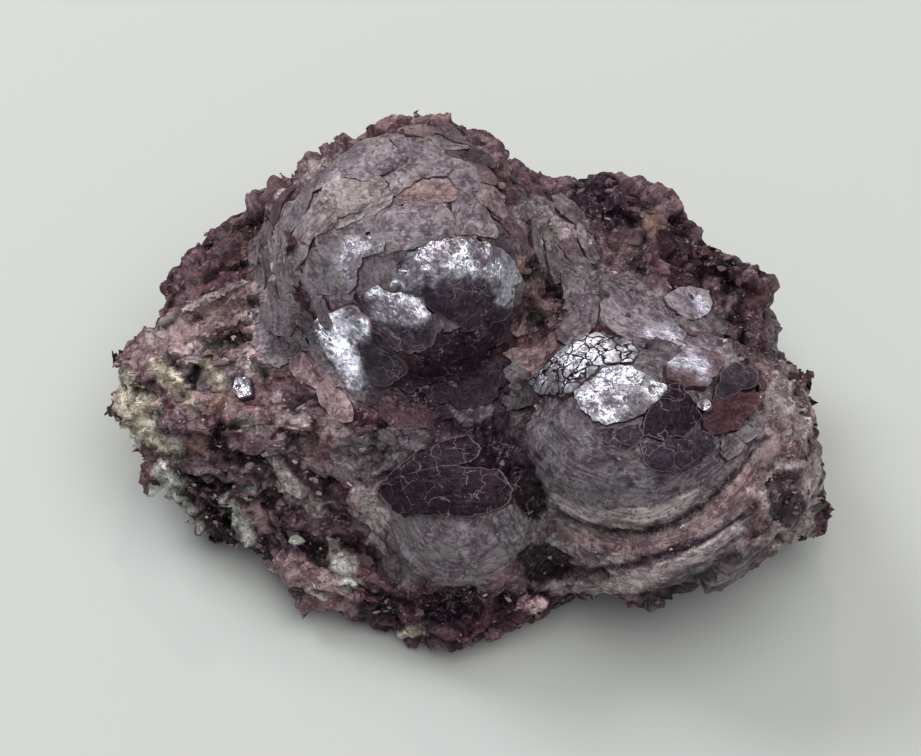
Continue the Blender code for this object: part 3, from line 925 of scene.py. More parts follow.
def smooth_noise(points, size, seed=0.0):
    """Slow noise from -1 to 1 at each point."""
    shift = Vector((seed, seed * 1.7, seed * 2.3))
    return np.array([noise.noise(Vector(p) + shift) for p in points / size])


def store(mesh, finish, tint, rim, grain, lean=(0.0, 0.0, 0.0)):
    """Writes what the mica material reads onto the mesh's points."""
    count = len(mesh.vertices)
    colour = mesh.attributes.new("tint", "FLOAT_COLOR", "POINT")
    four = np.ones((count, 4), np.float32)
    four[:, :3] = tint
    colour.data.foreach_set("color", four.ravel())
    shares = dict(zip(("foil", "streaks", "cracked", "threads"), finish), rim=rim)
    for name, share in shares.items():
        layer = mesh.attributes.new(name, "FLOAT", "POINT")
        layer.data.foreach_set("value", np.broadcast_to(share, count).astype(np.float32))
    for name, vectors in (("grain", grain), ("lean", np.broadcast_to(lean, (count, 3)))):
        layer = mesh.attributes.new(name, "FLOAT_VECTOR", "POINT")
        layer.data.foreach_set("vector", vectors.astype(np.float32).ravel())


def add_piece(name, mesh, material):
    """Links a finished mesh as a piece of the lump."""
    piece = bpy.data.objects.new(name, mesh)
    bpy.context.scene.collection.objects.link(piece)
    mesh.materials.clear()
    mesh.materials.append(material)
    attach(piece, "root")
    return piece


def modified(mesh, kind, **settings):
    """The mesh after one modifier."""
    holder = bpy.data.objects.new("holder", mesh)
    bpy.context.scene.collection.objects.link(holder)
    modifier = holder.modifiers.new("step", kind)
    for name, value in settings.items():
        setattr(modifier, name, value)
    graph = bpy.context.evaluated_depsgraph_get()
    done = bpy.data.meshes.new_from_object(holder.evaluated_get(graph))
    bpy.data.objects.remove(holder)
    return done


def raw_skin(voxel):
    """The lump's own solid as one fine, even mesh."""
    copy = bmesh.new()
    copy.from_mesh(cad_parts[LUMP_NODE].data)
    bmesh.ops.remove_doubles(copy, verts=copy.verts, dist=1e-6)
    bmesh.ops.recalc_face_normals(copy, faces=copy.faces)
    mesh = bpy.data.meshes.new("skin")
    copy.to_mesh(mesh)
    copy.free()
    fine = modified(mesh, "REMESH", mode="VOXEL", voxel_size=voxel)
    return modified(fine, "SMOOTH", factor=0.5, iterations=5)


def ball_places(points, facing):
    """For each point: how surely it lies on a ball's free skin, on which, and its place round it."""
    best = np.zeros(len(points))
    which = np.full(len(points), -1)
    around = along_grain(points)
    for index, ball in enumerate(BALLS):
        arm = (points / MM - ball.centre) / ball.radii
        reach = np.linalg.norm(arm, axis=1)
        side = np.array(ball.open_side) / np.linalg.norm(ball.open_side)
        radius = min(ball.radii)
        for growth in (0.0, *ball.layers):
            gap = np.abs(reach - 1.0 - growth) * radius
            sure = np.minimum((1.6 - gap) / 1.2, (facing @ side - 0.15) / 0.30).clip(0, 1)
            better = sure > best
            best[better] = sure[better]
            which[better] = index
            pole = np.array(ball.pole or ball.open_side)
            around[better] = round_ball(arm[better], pole / np.linalg.norm(pole), radius)
    around[:, 1] += smooth_noise(points, 4 * MM, 15.0) * 0.9 * MM
    return best, which, around


def round_ball(arm, pole, radius):
    """Where points lie on a ball, in metres: along its circles round the pole, across them, outwards."""
    reach = np.linalg.norm(arm, axis=1)
    unit = arm / reach[:, None]
    along = unit @ np.cross(pole, (1.0, 0.0, 0.0))
    polar = np.arccos((unit @ pole).clip(-1, 1))
    return np.stack((along, polar, reach), 1) * radius * MM


def along_grain(points):
    """Places in the broken parts' grain, in metres: out from the pole, round it, and up."""
    arm = points - FAN_POLE
    reach = np.linalg.norm(arm, axis=1)
    across = np.arctan2(arm[:, 1], arm[:, 0]) * FAN_REACH
    rise = np.arcsin(arm[:, 2] / reach) * FAN_REACH
    return np.stack((reach, across, rise), 1)


def plate_shifts(points, facing, size, lean, most, blend):
    """How far each point moves to lie on flat, tilted plates of about this size."""
    grain = along_grain(points) / (GRAIN_STRETCH, 1.0, 1.0)
    pattern = [noise.voronoi(Vector(p)) for p in grain / size]
    firsts = np.array([seeds[0] for _, seeds in pattern]).round(4)
    seconds = [tuple(np.round(seeds[1], 4)) for _, seeds in pattern]
    edge = np.array([far[1] - far[0] for far, _ in pattern]) * size / blend
    cells, where = np.unique(firsts, axis=0, return_inverse=True)
    where = where.ravel()
    count = np.bincount(where)[:, None]
    middle = np.stack([np.bincount(where, points[:, i]) for i in range(3)], 1) / count
    face = np.stack([np.bincount(where, facing[:, i]) for i in range(3)], 1)
    face /= np.linalg.norm(face, axis=1)[:, None]
    draws = np.array([noise.cell_vector(Vector(c)) for c in cells]) - 0.5
    face += draws * lean
    face /= np.linalg.norm(face, axis=1)[:, None]
    middle += face * (draws @ (0.3, 0.5, 0.2))[:, None] * most
    numbers = {tuple(c): i for i, c in enumerate(cells)}
    second = np.array([numbers.get(s, w) for s, w in zip(seconds, where)])

    def onto(cell):
        fall = ((middle[cell] - points) * face[cell]).sum(1)
        slope = np.maximum(0.5, (face[cell] * facing).sum(1))
        return (fall / slope).clip(-most, most)

    share = 0.5 + 0.5 * edge.clip(0, 1)
    return onto(where) * share + onto(second) * (1 - share), where, edge * blend


def inside_by(outline, px, py):
    """How many pixels each place lies inside the outline, negative outside."""
    corners = np.array(outline, float)
    after = np.roll(corners, -1, axis=0)
    nearest = np.full(len(px), np.inf)
    inside = np.zeros(len(px), bool)
    for (x0, y0), (x1, y1) in zip(corners, after):
        run = np.array((x1 - x0, y1 - y0))
        share = (((px - x0) * run[0] + (py - y0) * run[1]) / (run @ run)).clip(0, 1)
        nearest = np.minimum(nearest, np.hypot(px - x0 - share * run[0], py - y0 - share * run[1]))
        crosses = (y0 > py) != (y1 > py)
        at = (x1 - x0) * (py - y0) / (y1 - y0 if y1 != y0 else 1.0) + x0
        inside ^= crosses & (px < at)
    return np.where(inside, nearest, -nearest)


def depth_inside(plate, px, py):
    """How many pixels each place lies inside a plate or a strip, negative outside."""
    if not isinstance(plate, Strip):
        return inside_by(plate.outline, px, py)
    best = np.full(len(px), -np.inf)
    for ((x0, y0), half0), ((x1, y1), half1) in zip(plate.line, plate.line[1:]):
        run = np.array((x1 - x0, y1 - y0), float)
        share = (((px - x0) * run[0] + (py - y0) * run[1]) / (run @ run)).clip(0, 1)
        gap = np.hypot(px - x0 - share * run[0], py - y0 - share * run[1])
        best = np.maximum(best, half0 + (half1 - half0) * share - gap)
    return best


def worked_in():
    """The strips and the dull plates of the broken parts, which belong to the skin itself."""
    return [
        plate for group, plates in PLATE_GROUPS.items() for plate in plates.values()
        if not is_laid(group, plate)
    ]


def is_laid(group, plate):
    """Whether a plate is laid on the skin as a thin sheet of its own."""
    thin = group in LAID_GROUPS or FINISHES[plate.finish].foil > 0.6
    return thin and not isinstance(plate, Strip)


COLOUR_NAMES = ("lilac", "pale", "rose", "mauve", "grey", "smoke", "violet", "red", "cream", "sage", "tan")
WILD_SHARES = {"mauve": 4, "red": 4, "violet": 2, "rose": 1}


def colour_shares(points, facing, which, sure):
    """The shares of the named colours at each place, by patch or by ball, and how broken it is."""
    def row(shares):
        total = sum(shares.values())
        return np.array([shares.get(name, 0) / total for name in COLOUR_NAMES])

    mix = np.tile(row(WILD_SHARES), (len(points), 1))
    rough = np.zeros(len(points))
    for index, ball in enumerate(BALLS):
        skin = (sure * (which == index))[:, None]
        mix = mix * (1 - skin) + row({ball.colour: 6, "mauve": 1, "violet": 1}) * skin
    px, py = photo_places(points)
    wobble = smooth_noise(points, 3 * MM, 41.0) * 9
    seen = (facing @ np.array(PHOTO_VIEW.towards) * 8).clip(0, 1)
    for patch in PATCHES:
        share = ((inside_by(patch.outline, px, py) + wobble) / patch.soft + 0.5).clip(0, 1) * seen
        mix = mix * (1 - share[:, None]) + row(patch.shares) * share[:, None]
        rough = np.maximum(rough, share * patch.rough)
    return mix, rough


def photo_places(points):
    """Where points show in the photo, in pixels."""
    arm = points - np.array(CAMERA_AIM)
    zoom = PIXELS_PER_MM / MM * CAMERA_DISTANCE / (CAMERA_DISTANCE - arm @ np.array(PHOTO_VIEW.towards))
    px = PHOTO_WIDTH / 2 + arm @ np.array(PHOTO_VIEW.right) * zoom
    return px, PHOTO_HEIGHT / 2 - arm @ np.array(PHOTO_VIEW.up) * zoom


def palette(colours):
    return np.array([getattr(colours, name) for name in COLOUR_NAMES])


def drawn_colours(mix, draws, colours):
    """One named colour for each row of shares, picked by a draw from 0 to 1."""
    picks = (mix.cumsum(1) < draws[:, None]).sum(1).clip(0, len(COLOUR_NAMES) - 1)
    return palette(colours)[picks]


def skin_colours(points, mix, colours):
    """Blotches of the colours in the mix."""
    slow = smooth_noise(points, 1.6 * MM, 3.0) + 0.5 * smooth_noise(points, 0.7 * MM, 9.0)
    blotch = drawn_colours(mix, (0.5 + slow * 0.75).clip(0.001, 0.999), colours)
    return blotch * 0.6 + (mix @ palette(colours)) * 0.4


class Ground(NamedTuple):
    """The lump's smoothed skin, which the plates are laid on."""

    tree: BVHTree
    points: np.ndarray
    facing: np.ndarray


def lay_ground(mesh):
    faces = [tuple(p.vertices) for p in mesh.polygons]
    points = coordinates(mesh)
    tree = BVHTree.FromPolygons([Vector(p) for p in points], faces)
    return Ground(tree, points, normals(mesh))


class Survey(NamedTuple):
    """What is known at each point of the lump's fine surface."""

    points: np.ndarray
    facing: np.ndarray
    sure: np.ndarray  # of lying on a ball
    which: np.ndarray
    grain: np.ndarray
    mix: np.ndarray


# What the skin's operator leaves for the others
GROUND = []
SURVEY = []


def ragged(outline, step, amount, seed):
    """The outline as many short pieces, straight from point to point but with an uneven edge."""
    corners = [Vector(c) for c in outline]
    edge = []
    for here, there in zip(corners, corners[1:] + corners[:1]):
        pieces = max(1, round((there - here).length / step))
        edge += [here.lerp(there, i / pieces) for i in range(pieces)]
    middle = sum(corners, Vector((0, 0))) / len(corners)
    done = []
    for point in edge:
        place = Vector((point.x, point.y, seed))
        push = 1.2 + noise.noise(place / 9) * amount + noise.noise(place / 3.7) * amount * 0.5
        done.append(point + (point - middle).normalized() * push)
    return done, middle


WALL_STEPS = (0.3, 0.62, 1.0)


def grown_ring(bm, loop):
    """A new ring of vertices on an edge loop: the new edges and vertices."""
    ring = bmesh.ops.extrude_edge_only(bm, edges=loop)["geom"]
    verts = [g for g in ring if isinstance(g, bmesh.types.BMVert)]
    held = set(verts)
    edges = [g for g in ring if isinstance(g, bmesh.types.BMEdge) and held.issuperset(g.verts)]
    return edges, verts


def flat_plate(plate, step, seed):
    """A closed plate, still flat: its face in rings from the ragged outline inwards, and its wall below."""
    edge, middle = ragged(plate.outline, step, 3.4, seed)
    reach = sum((p - middle).length for p in edge) / len(edge)
    rings = max(2, round(reach / (step * (1.1 if plate.gleams else 2.2))))
    bm = bmesh.new()
    made = bmesh.ops.create_circle(bm, segments=len(edge), radius=1.0)
    for vert, point in zip(made["verts"], edge):
        vert.co = (point.x, point.y, 0)
    loop = list(bm.edges)
    first_inset = 1 - 1.3 / reach
    scales = [first_inset] + [first_inset * (1 - i / rings) for i in range(1, rings)]
    pole = Matrix.Translation((-middle.x, -middle.y, 0))
    inner = loop
    before = 1.0
    outwards = [1.0] * len(edge)
    for scale in scales:
        inner, verts = grown_ring(bm, inner)
        bmesh.ops.scale(bm, verts=verts, vec=(scale / before, scale / before, 1), space=pole)
        before = scale
        outwards += [scale] * len(verts)
    cap = bmesh.ops.contextual_create(bm, geom=inner)["faces"]
    bmesh.ops.poke(bm, faces=cap)
    outwards.append(0.0)
    return close_below(bm, loop, outwards)


def close_below(bm, loop, outwards):
    """Adds the wall under the edge loop and the bottom. Returns the mesh, and each vertex's share of the
    way out to the edge and of the way down the wall."""
    drop = [0.0] * len(outwards)
    lower = loop
    for level in WALL_STEPS:
        lower, verts = grown_ring(bm, lower)
        outwards += [0.0] * len(verts)
        drop += [level] * len(verts)
    bmesh.ops.contextual_create(bm, geom=lower)
    bmesh.ops.triangulate(bm, faces=[f for f in bm.faces if len(f.verts) > 4])
    bmesh.ops.recalc_face_normals(bm, faces=bm.faces)
    return bm, np.array(outwards), np.array(drop)


def fitted_heights(px, py, ground, view, plate):
    """The plate's smooth face over the lump: its heights in the view, the lump's own, and its normal."""
    below = view.heights_of(px, py, ground)
    good = np.abs(below - np.median(below)) < 6 * MM
    u = (px - px.mean()) / PIXELS_PER_MM
    v = (py.mean() - py) / PIXELS_PER_MM
    terms = np.stack((np.ones_like(u), u, v, u * u, u * v, v * v), 1)
    calm = np.diag((0.0, 0.02, 0.02, 1.0, 1.0, 1.0)) * len(px) * 0.01
    match = terms[good].T @ terms[good] + calm
    fit = np.linalg.solve(match, terms[good].T @ (below[good] / MM))
    if plate.facing:
        slopes = -np.array(plate.facing[:2]) / plate.facing[2]
        fit[1:3] += (slopes - fit[1:3]) * plate.turn
    fit[3:] *= plate.bend
    face = terms @ fit * MM
    below = np.where(good, below, face)
    face += max(0.0, np.percentile(below - face, 85)) * 0.8 + plate.rise * MM
    face = np.minimum(face, below.max() + plate.rise * MM + 0.4 * MM)
    normal = np.array((-fit[1], -fit[2], 1.0))
    normal /= np.linalg.norm(normal)
    lean = np.zeros(3)
    if plate.glint:
        u = (plate.glint[0] - px.mean()) / PIXELS_PER_MM
        v = (py.mean() - plate.glint[1]) / PIXELS_PER_MM
        slope_right = fit[1] + 2 * fit[3] * u + fit[4] * v
        slope_up = fit[2] + 2 * fit[5] * v + fit[4] * u
        there = np.array((-slope_right, -slope_up, 1.0))
        there /= np.linalg.norm(there)
        lean = there - np.array(MIRROR_FACING) / (there @ np.array(MIRROR_FACING))
    axes = np.array((view.right, view.up, view.towards))
    return face, below, Vector(normal @ axes), lean @ axes


def painted_gleam_share(plate, px, py, points, seed):
    """The share of painted highlight at each point, from 0 to 1: 1 near the gleams, where the plate keeps
    its bright tint and full mirror share.
    """
    if not plate.gleams:
        return np.ones(len(px))
    near = np.max([1 - np.hypot(px - x, py - y) / reach for x, y, reach in plate.gleams], axis=0)
    coarse = smooth_noise(points, 1.0 * MM, seed + 12) * 0.3
    ragged_edge = coarse + smooth_noise(points, 0.5 * MM, seed + 14) * 0.2
    return ((near + ragged_edge + 0.35) / 0.75).clip(0, 1)


def laid_plate(name, plate, ground, view, sizes, colours, tint=None, step=None):
    """One plate as a mesh in place, with what the material reads stored on it."""
    seed = float(sum(ord(c) * (i + 1) for i, c in enumerate(name)) % 997)
    bm, outwards, drop = flat_plate(plate, step or sizes.outline_step, seed)
    rim = (outwards > 0.999).astype(float)
    px = np.array([v.co.x for v in bm.verts])
    py = np.array([v.co.y for v in bm.verts])
    face, below, normal, lean = fitted_heights(px, py, ground, view, plate)
    points = view.place(px, py, face)
    finish = FINISHES[plate.finish]
    crumple = smooth_noise(points, 1.1 * MM, seed) * 0.05 + smooth_noise(points, 3.0 * MM, seed) * 0.12
    points += np.array(normal) * (crumple * (0.5 + finish.foil) * MM)[:, None]
    walls = drop > 0
    sink = (np.maximum(face - below, 0) + 0.45 * MM).clip(0, 5 * MM)
    points[walls] -= np.array(normal) * (drop * sink)[walls, None]
    uneven = smooth_noise(points[walls], 0.5 * MM, seed + 1) * 0.10 * MM
    points[walls] += np.array(normal.orthogonal()) * uneven[:, None]
    points[:, 2] = points[:, 2].clip(0.0)
    for vert, point in zip(bm.verts, points):
        vert.co = point
    mesh = bpy.data.meshes.new(name)
    bm.to_mesh(mesh)
    bm.free()
    if tint is None:
        tint = np.array(getattr(colours, finish.colour))
    change = smooth_noise(points, 2.5 * MM, seed + 5)[:, None] * 0.18 + 1.0
    near_edge = ((outwards - 0.55) / 0.35).clip(0, 1)
    rust = (smooth_noise(points, 1.3 * MM, seed + 8) * 2.2 - 0.1).clip(0, 1) * near_edge * finish.stain
    tint = tint * (1 - rust[:, None]) + np.array(colours.tan) * 0.75 * rust[:, None]
    # Painted highlight near the gleams, painted shade in the dull colour elsewhere; the mirror share falls
    # with it
    gleam_share = painted_gleam_share(plate, px, py, points, seed)
    tint = tint * change * gleam_share[:, None] + np.array(getattr(colours, plate.dull)) * (1 - gleam_share[:, None])
    lower = np.array(colours.red) * 0.8 + 0.01
    shade = np.where(walls[:, None], lower, tint)
    angle = math.radians(plate.grain)
    u = (px - px.mean()) / PIXELS_PER_MM * MM
    v = (py.mean() - py) / PIXELS_PER_MM * MM
    along = u * math.cos(angle) + v * math.sin(angle)
    across = v * math.cos(angle) - u * math.sin(angle)
    grain = np.stack((along, across, drop * sink * 3), 1)
    streaks = np.where(walls, 0.9, finish.streaks)
    foil = finish.foil * (0.25 + 0.75 * gleam_share)
    threads = finish.threads + (1 - gleam_share) * 0.5
    shares = (foil * ~walls, streaks, finish.cracked * ~walls, threads * ~walls)
    store(mesh, shares, shade, rim * finish.rim, grain, lean)
    mesh.set_sharp_from_angle(angle=math.radians(40))
    return mesh


def joined(name, meshes):
    """One mesh from several, with their attributes."""
    holders = [bpy.data.objects.new("part", m) for m in meshes]
    for holder in holders:
        bpy.context.scene.collection.objects.link(holder)
    with bpy.context.temp_override(
        active_object=holders[0], object=holders[0], selected_editable_objects=holders,
        selected_objects=holders,
    ):
        bpy.ops.object.join()
    mesh = holders[0].data
    mesh.name = name
    bpy.data.objects.remove(holders[0])
    return mesh


def spread_out(points, allowed, gap, rng):
    """Indices of allowed points at least a gap apart, in random order."""
    cells = {}
    chosen = []
    for index in rng.permutation(np.flatnonzero(allowed)):
        key = tuple((points[index] // gap).astype(int))
        around = [
            near for x in (-1, 0, 1) for y in (-1, 0, 1) for z in (-1, 0, 1)
            for near in cells.get((key[0] + x, key[1] + y, key[2] + z), ())
        ]
        if all(np.linalg.norm(points[index] - points[near]) > gap for near in around):
            cells.setdefault(key, []).append(index)
            chosen.append(index)
    return chosen


def grain_directions(points, facing, sure, which):
    """The way the streaks run at each point: round the ball's pole, or out from the fan's pole."""
    way = points - FAN_POLE
    for index, ball in enumerate(BALLS):
        on = (which == index) & (sure > 0.3)
        side = np.array(ball.open_side)
        way[on] = np.cross(points[on] - np.array(ball.centre) * MM, side)
    way -= (way * facing).sum(1)[:, None] * facing
    return way / np.maximum(np.linalg.norm(way, axis=1)[:, None], 1e-9)


def under_plates(ground):
    """Which points of the lump lie under the larger plates."""
    px, py = photo_places(ground.points)
    seen = ground.facing @ np.array(PHOTO_VIEW.towards) > 0
    under = np.zeros(len(px), bool)
    for plates in PLATE_GROUPS.values():
        for plate in plates.values():
            if isinstance(plate, Strip):
                for (x, y), half in plate.line:
                    under |= np.hypot(px - x, py - y) < half
            else:
                under |= inside_by(plate.outline, px, py) > 3
    return under & seen


def view_at(ground, ways, index):
    """A view straight down on one point of the lump, with its streaks from left to right."""
    normal = Vector(ground.facing[index])
    along = Vector(ways[index])
    return View(Vector(ground.points[index]), along, normal.cross(along), normal, 4 * MM)


def random_outline(size, rng, stretch):
    """An uneven, longer than wide outline round the photo's middle, in pixels."""
    corners = rng.integers(6, 10)
    turn = rng.uniform(0, math.tau)
    outline = []
    for index in range(corners):
        angle = turn + (index + rng.uniform(-0.3, 0.3)) / corners * math.tau
        reach = size * PIXELS_PER_MM * rng.uniform(0.72, 1.12)
        outline.append((
            PHOTO_WIDTH / 2 + math.cos(angle) * reach * stretch,
            PHOTO_HEIGHT / 2 + math.sin(angle) * reach / stretch,
        ))
    return tuple(outline)


class Heap(NamedTuple):
    """A small shape repeated many times: its points, faces, and which points are pale rims."""

    points: np.ndarray
    faces: list
    rim: np.ndarray
    height: np.ndarray


def small_shape(corners, rings, rng):
    """A book or flake about 1 across: rings are (radius, height) from the bottom up."""
    bm = bmesh.new()
    made = bmesh.ops.create_circle(bm, segments=corners, radius=1.0)
    reach = rng.uniform(0.62, 1.1, corners)
    turns = rng.uniform(-0.22, 0.22, corners)
    for index, vert in enumerate(made["verts"]):
        vert.co = Matrix.Rotation(turns[index], 3, "Z") @ vert.co * reach[index]
        vert.co.z = rings[0][1]
    loop = list(bm.edges)
    bmesh.ops.contextual_create(bm, geom=loop)
    before = rings[0][0]
    for radius, height in rings[1:]:
        loop, verts = grown_ring(bm, loop)
        slide = rng.uniform(-0.08, 0.08, 2) * (radius != before)
        for vert in verts:
            vert.co.x = vert.co.x * radius / before + slide[0]
            vert.co.y = vert.co.y * radius / before + slide[1]
            vert.co.z = height + 0.06 * vert.co.x
        before = radius
    bmesh.ops.contextual_create(bm, geom=loop)
    bmesh.ops.recalc_face_normals(bm, faces=bm.faces)
    bm.verts.ensure_lookup_table()
    points = np.array([v.co for v in bm.verts])
    faces = [[v.index for v in f.verts] for f in bm.faces]
    bm.free()
    ring_of = np.arange(len(points)) // corners
    top = np.array([h for _, h in rings])
    after = [radius for radius, _ in rings[1:]] + [None]
    edge = np.array([i > 0 and after[i] != rings[i][0] for i in range(len(rings))])
    return Heap(points, faces, edge[ring_of].astype(float), top[ring_of])


def strew(name, shapes, picks, frames, scales, tints, foils, rim):
    """One mesh of many small shapes, each turned to its frame and scaled."""
    points, faces, colours, rims, foil, grain = [], [], [], [], [], []
    start = 0
    for pick, matrix, scale, tint, shine in zip(picks, frames, scales, tints, foils):
        shape = shapes[pick]
        local = shape.points * scale
        points.append(local @ matrix[:3, :3].T + matrix[:3, 3])
        faces += [[start + i for i in f] for f in shape.faces]
        start += len(local)
        # Painted shade: each small shape's colour darkens towards its bottom
        depth = (shape.height - shape.height.min()) / np.ptp(shape.height)
        colours.append(tint * (0.45 + 0.55 * depth[:, None]))
        rims.append(shape.rim * rim)
        foil.append(np.full(len(local), shine))
        grain.append(local + (start * 0.37e-4))
    mesh = bpy.data.meshes.new(name)
    points = np.concatenate(points)
    points[:, 2] = points[:, 2].clip(0.0)
    mesh.from_pydata(points, [], faces)
    finish = (np.concatenate(foil), 0.7, 0.0, 0.0)
    store(mesh, finish, np.concatenate(colours), np.concatenate(rims), np.concatenate(grain))
    return mesh


def frames_at(points, up, along):
    """4 by 4 frames whose z is up and whose x is about along."""
    side = np.cross(up, along)
    side /= np.linalg.norm(side, axis=1)[:, None]
    first = np.cross(side, up)
    frames = np.zeros((len(points), 4, 4))
    frames[:, :3, 0] = first
    frames[:, :3, 1] = side
    frames[:, :3, 2] = up
    frames[:, :3, 3] = points
    frames[:, 3, 3] = 1
    return frames


def leaning(facing, points, field, spread, rng):
    """Normals that lean the same way as their neighbours', and a little their own."""
    shared = np.stack([smooth_noise(points, 5 * MM, 60.0 + 10 * i) for i in range(3)], 1)
    up = facing + shared * field + rng.normal(0, spread, facing.shape)
    return up / np.linalg.norm(up, axis=1)[:, None]


class Litter(NamedTuple):
    """Many small shapes strewn over the lump."""

    corners: tuple  # of a shape: the least, and one more than the most
    rings: tuple  # (radius, height) of a shape from the bottom up
    lowest: float  # millimetres over the floor
    shared_lean: float  # with its neighbours
    own_lean: float
    turn: float  # from the grain, in radians
    brightest: float
    shiny: tuple  # the share of shiny ones, then their mirror share and that of the others
    rim: float


BOOKS = Litter(
    (5, 8), ((1.0, -0.8), (1.0, 0.0), (0.9, 0.0), (0.88, 0.15), (0.76, 0.15), (0.74, 0.32)),
    1.0, 0.6, 0.18, 0.35, 1.35, (0.10, 0.8, 0.15), 0.45,
)
FLAKES = Litter((4, 7), ((1.0, -0.35), (0.97, 0.05)), 0.6, 0.5, 0.20, 0.5, 1.8, (0.12, 1.0, 0.2), 0.6)
SHAPE_COUNT = 24


def off_outline(facing):
    """Weights that keep crumbs off the lump's outline in the photo, where they would stand out."""
    return 0.05 + 0.95 * (np.abs(facing @ np.array(PHOTO_VIEW.towards)) > 0.25)


def litter_places(kind, survey, count, weight, rng):
    """The shapes, the points of the lump that get one, and their frames."""
    shapes = [small_shape(int(rng.integers(*kind.corners)), kind.rings, rng) for _ in range(SHAPE_COUNT)]
    weight = weight * (survey.points[:, 2] > kind.lowest * MM) * off_outline(survey.facing)
    chosen = rng.choice(len(weight), count, replace=False, p=weight / weight.sum())
    points, facing = survey.points[chosen], survey.facing[chosen]
    ways = grain_directions(points, facing, survey.sure[chosen], survey.which[chosen])
    up = leaning(facing, points, kind.shared_lean, kind.own_lean, rng)
    return shapes, chosen, frames_at(points, up, ways + rng.normal(0, kind.turn, ways.shape))


def add_litter(name, kind, survey, colours, places, scales, rng):
    """One piece of all the shapes, coloured as the lump is where they lie."""
    shapes, chosen, frames = places
    tints = drawn_colours(survey.mix[chosen], rng.random(len(chosen)), colours)
    tints = tints * rng.uniform(0.6, kind.brightest, len(chosen))[:, None]
    share, mirror, others = kind.shiny
    foils = np.where(rng.random(len(chosen)) < share, mirror, others)
    picks = rng.integers(0, len(shapes), len(chosen))
    add_piece(name, strew(name, shapes, picks, frames, scales, tints, foils, kind.rim), mica_shader())


def median_lengths(middle, spread, count, ends, rng):
    """Random lengths in millimetres with this median, between the ends."""
    return np.exp(rng.normal(math.log(middle), spread, count)).clip(*ends)


# The flat broken faces of the skin: their size, lean, greatest shift and blend, all but the lean in
# millimetres, and how much of the colour is their own
SKIN_CELLS = ((3.4, 0.7, 0.6, 0.3, 0.6), (1.6, 0.7, 0.22, 0.15, 0.4))


def mica_shader():
    return bpy.data.materials.get("pearly_mica") or mica_material("pearly_mica")


class MICA_OT_skin(bpy.types.Operator):
    """Makes the lump's own fine surface, in place of the plain solid"""

    bl_idname = "mica.skin"
    bl_label = "Skin of the lump"

    def execute(self, context):
        sizes, colours = context.scene.mica_sizes, context.scene.mica_colours
        mesh = raw_skin(sizes.skin_voxel)
        GROUND.append(lay_ground(mesh))
        points, facing = GROUND[0].points, GROUND[0].facing
        sure, which, grain = ball_places(points, facing)
        shift = np.zeros(len(points))
        mix, rough = colour_shares(points, facing, which, sure)
        sure = sure * (1 - rough)
        tint = skin_colours(points, mix, colours)
        draws = np.random.default_rng(5)
        foil = 0.15 + 0.25 * (smooth_noise(points, 3 * MM, 31.0) > 0.1)
        warp = np.stack([smooth_noise(points, 1.1 * MM, 80.0 + 7 * i) for i in range(3)], 1) * 0.55 * MM
        for size, lean, most, blend, share in SKIN_CELLS:
            step, cells, edge = plate_shifts(points + warp, facing, size * MM, lean, most * MM, blend * MM)
            shift += step
            share = (share * (1 - sure))[:, None]
            own = drawn_colours(mix, draws.random(cells.max() + 1)[cells], colours)
            own = own * np.exp(draws.normal(0.1, 0.45, cells.max() + 1))[cells, None]
            # Painted shade: each cell's own colour darkens towards its edge, in the seams between cells
            own = own * (0.35 + 0.65 * (edge / (0.30 * MM)).clip(0, 1))[:, None]
            tint = tint * (1 - share) + own * share
            foil = np.maximum(foil, 0.8 * (draws.random(cells.max() + 1) < 0.07)[cells] * (1 - sure))
        shift = shift * (1 - 0.85 * sure) - (0.30 - 0.12 * sure) * MM
        peel = smooth_noise(points, 5 * MM, 21.0) * 3
        shift -= (np.floor(peel) - peel.min()) * 0.07 * MM * sure
        # Pockets: hollows pushed into the rough skin, their colour also darkened as painted shade
        pocket_and_shade = ((-smooth_noise(points + warp, 2.6 * MM, 55.0) - 0.20) * 7).clip(0, 1) * (1 - sure)
        shift -= pocket_and_shade * 0.6 * MM
        tint = tint * (1 - 0.8 * pocket_and_shade[:, None])
        streaks = 0.45 + 0.35 * sure * ((grain[:, 1] / (14 * MM) - 0.45) * 3).clip(0, 1)
        threads = 0.2 + 0.5 * (smooth_noise(points, 4 * MM, 46.0) > 0.05)
        px, py = photo_places(points)
        seen = facing @ np.array(PHOTO_VIEW.towards) > -0.2
        wander = smooth_noise(points, 0.7 * MM, 71.0) * 2.5 + smooth_noise(points, 2.2 * MM, 77.0) * 3
        vary = smooth_noise(points, 0.9 * MM, 91.0) * 0.5 + smooth_noise(points, 2.4 * MM, 95.0) * 0.5
        vary = np.exp(vary)
        for plate in worked_in():
            waver = wander * (0.5 if isinstance(plate, Strip) else 1.0)
            share = ((depth_inside(plate, px, py) + waver) / 3 + 0.5).clip(0, 1) * seen
            shift += share * plate.rise * 0.7 * MM
            finish = FINISHES[plate.finish]
            own = np.array(getattr(colours, finish.colour)) * vary[:, None]
            tint = tint * (1 - 0.9 * share[:, None]) + own * 0.9 * share[:, None]
            foil = foil * (1 - share) + finish.foil * share
            threads = threads * (1 - share) + finish.threads * share
        moved = points + facing * shift[:, None]
        moved[:, 2] = moved[:, 2].clip(0.0)
        set_coordinates(mesh, moved)
        SURVEY.append(Survey(moved, normals(mesh), sure, which, grain, mix))
        # Painted shade: the skin's colour darkens where it is pushed in, in its crevices
        painted_recess_shade = ((-shift / MM - 0.35) * 1.2).clip(0, 1)[:, None]
        tint = tint * (1 - 0.75 * painted_recess_shade) * 1.15
        store(mesh, (foil, streaks, 0.0, threads), tint, 0.0, grain)
        mesh.shade_smooth()
        mesh.set_sharp_from_angle(angle=math.radians(35))
        piece = add_piece("mica_skin", mesh, mica_shader())
        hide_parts(LUMP_NODE)
        return {"FINISHED"}


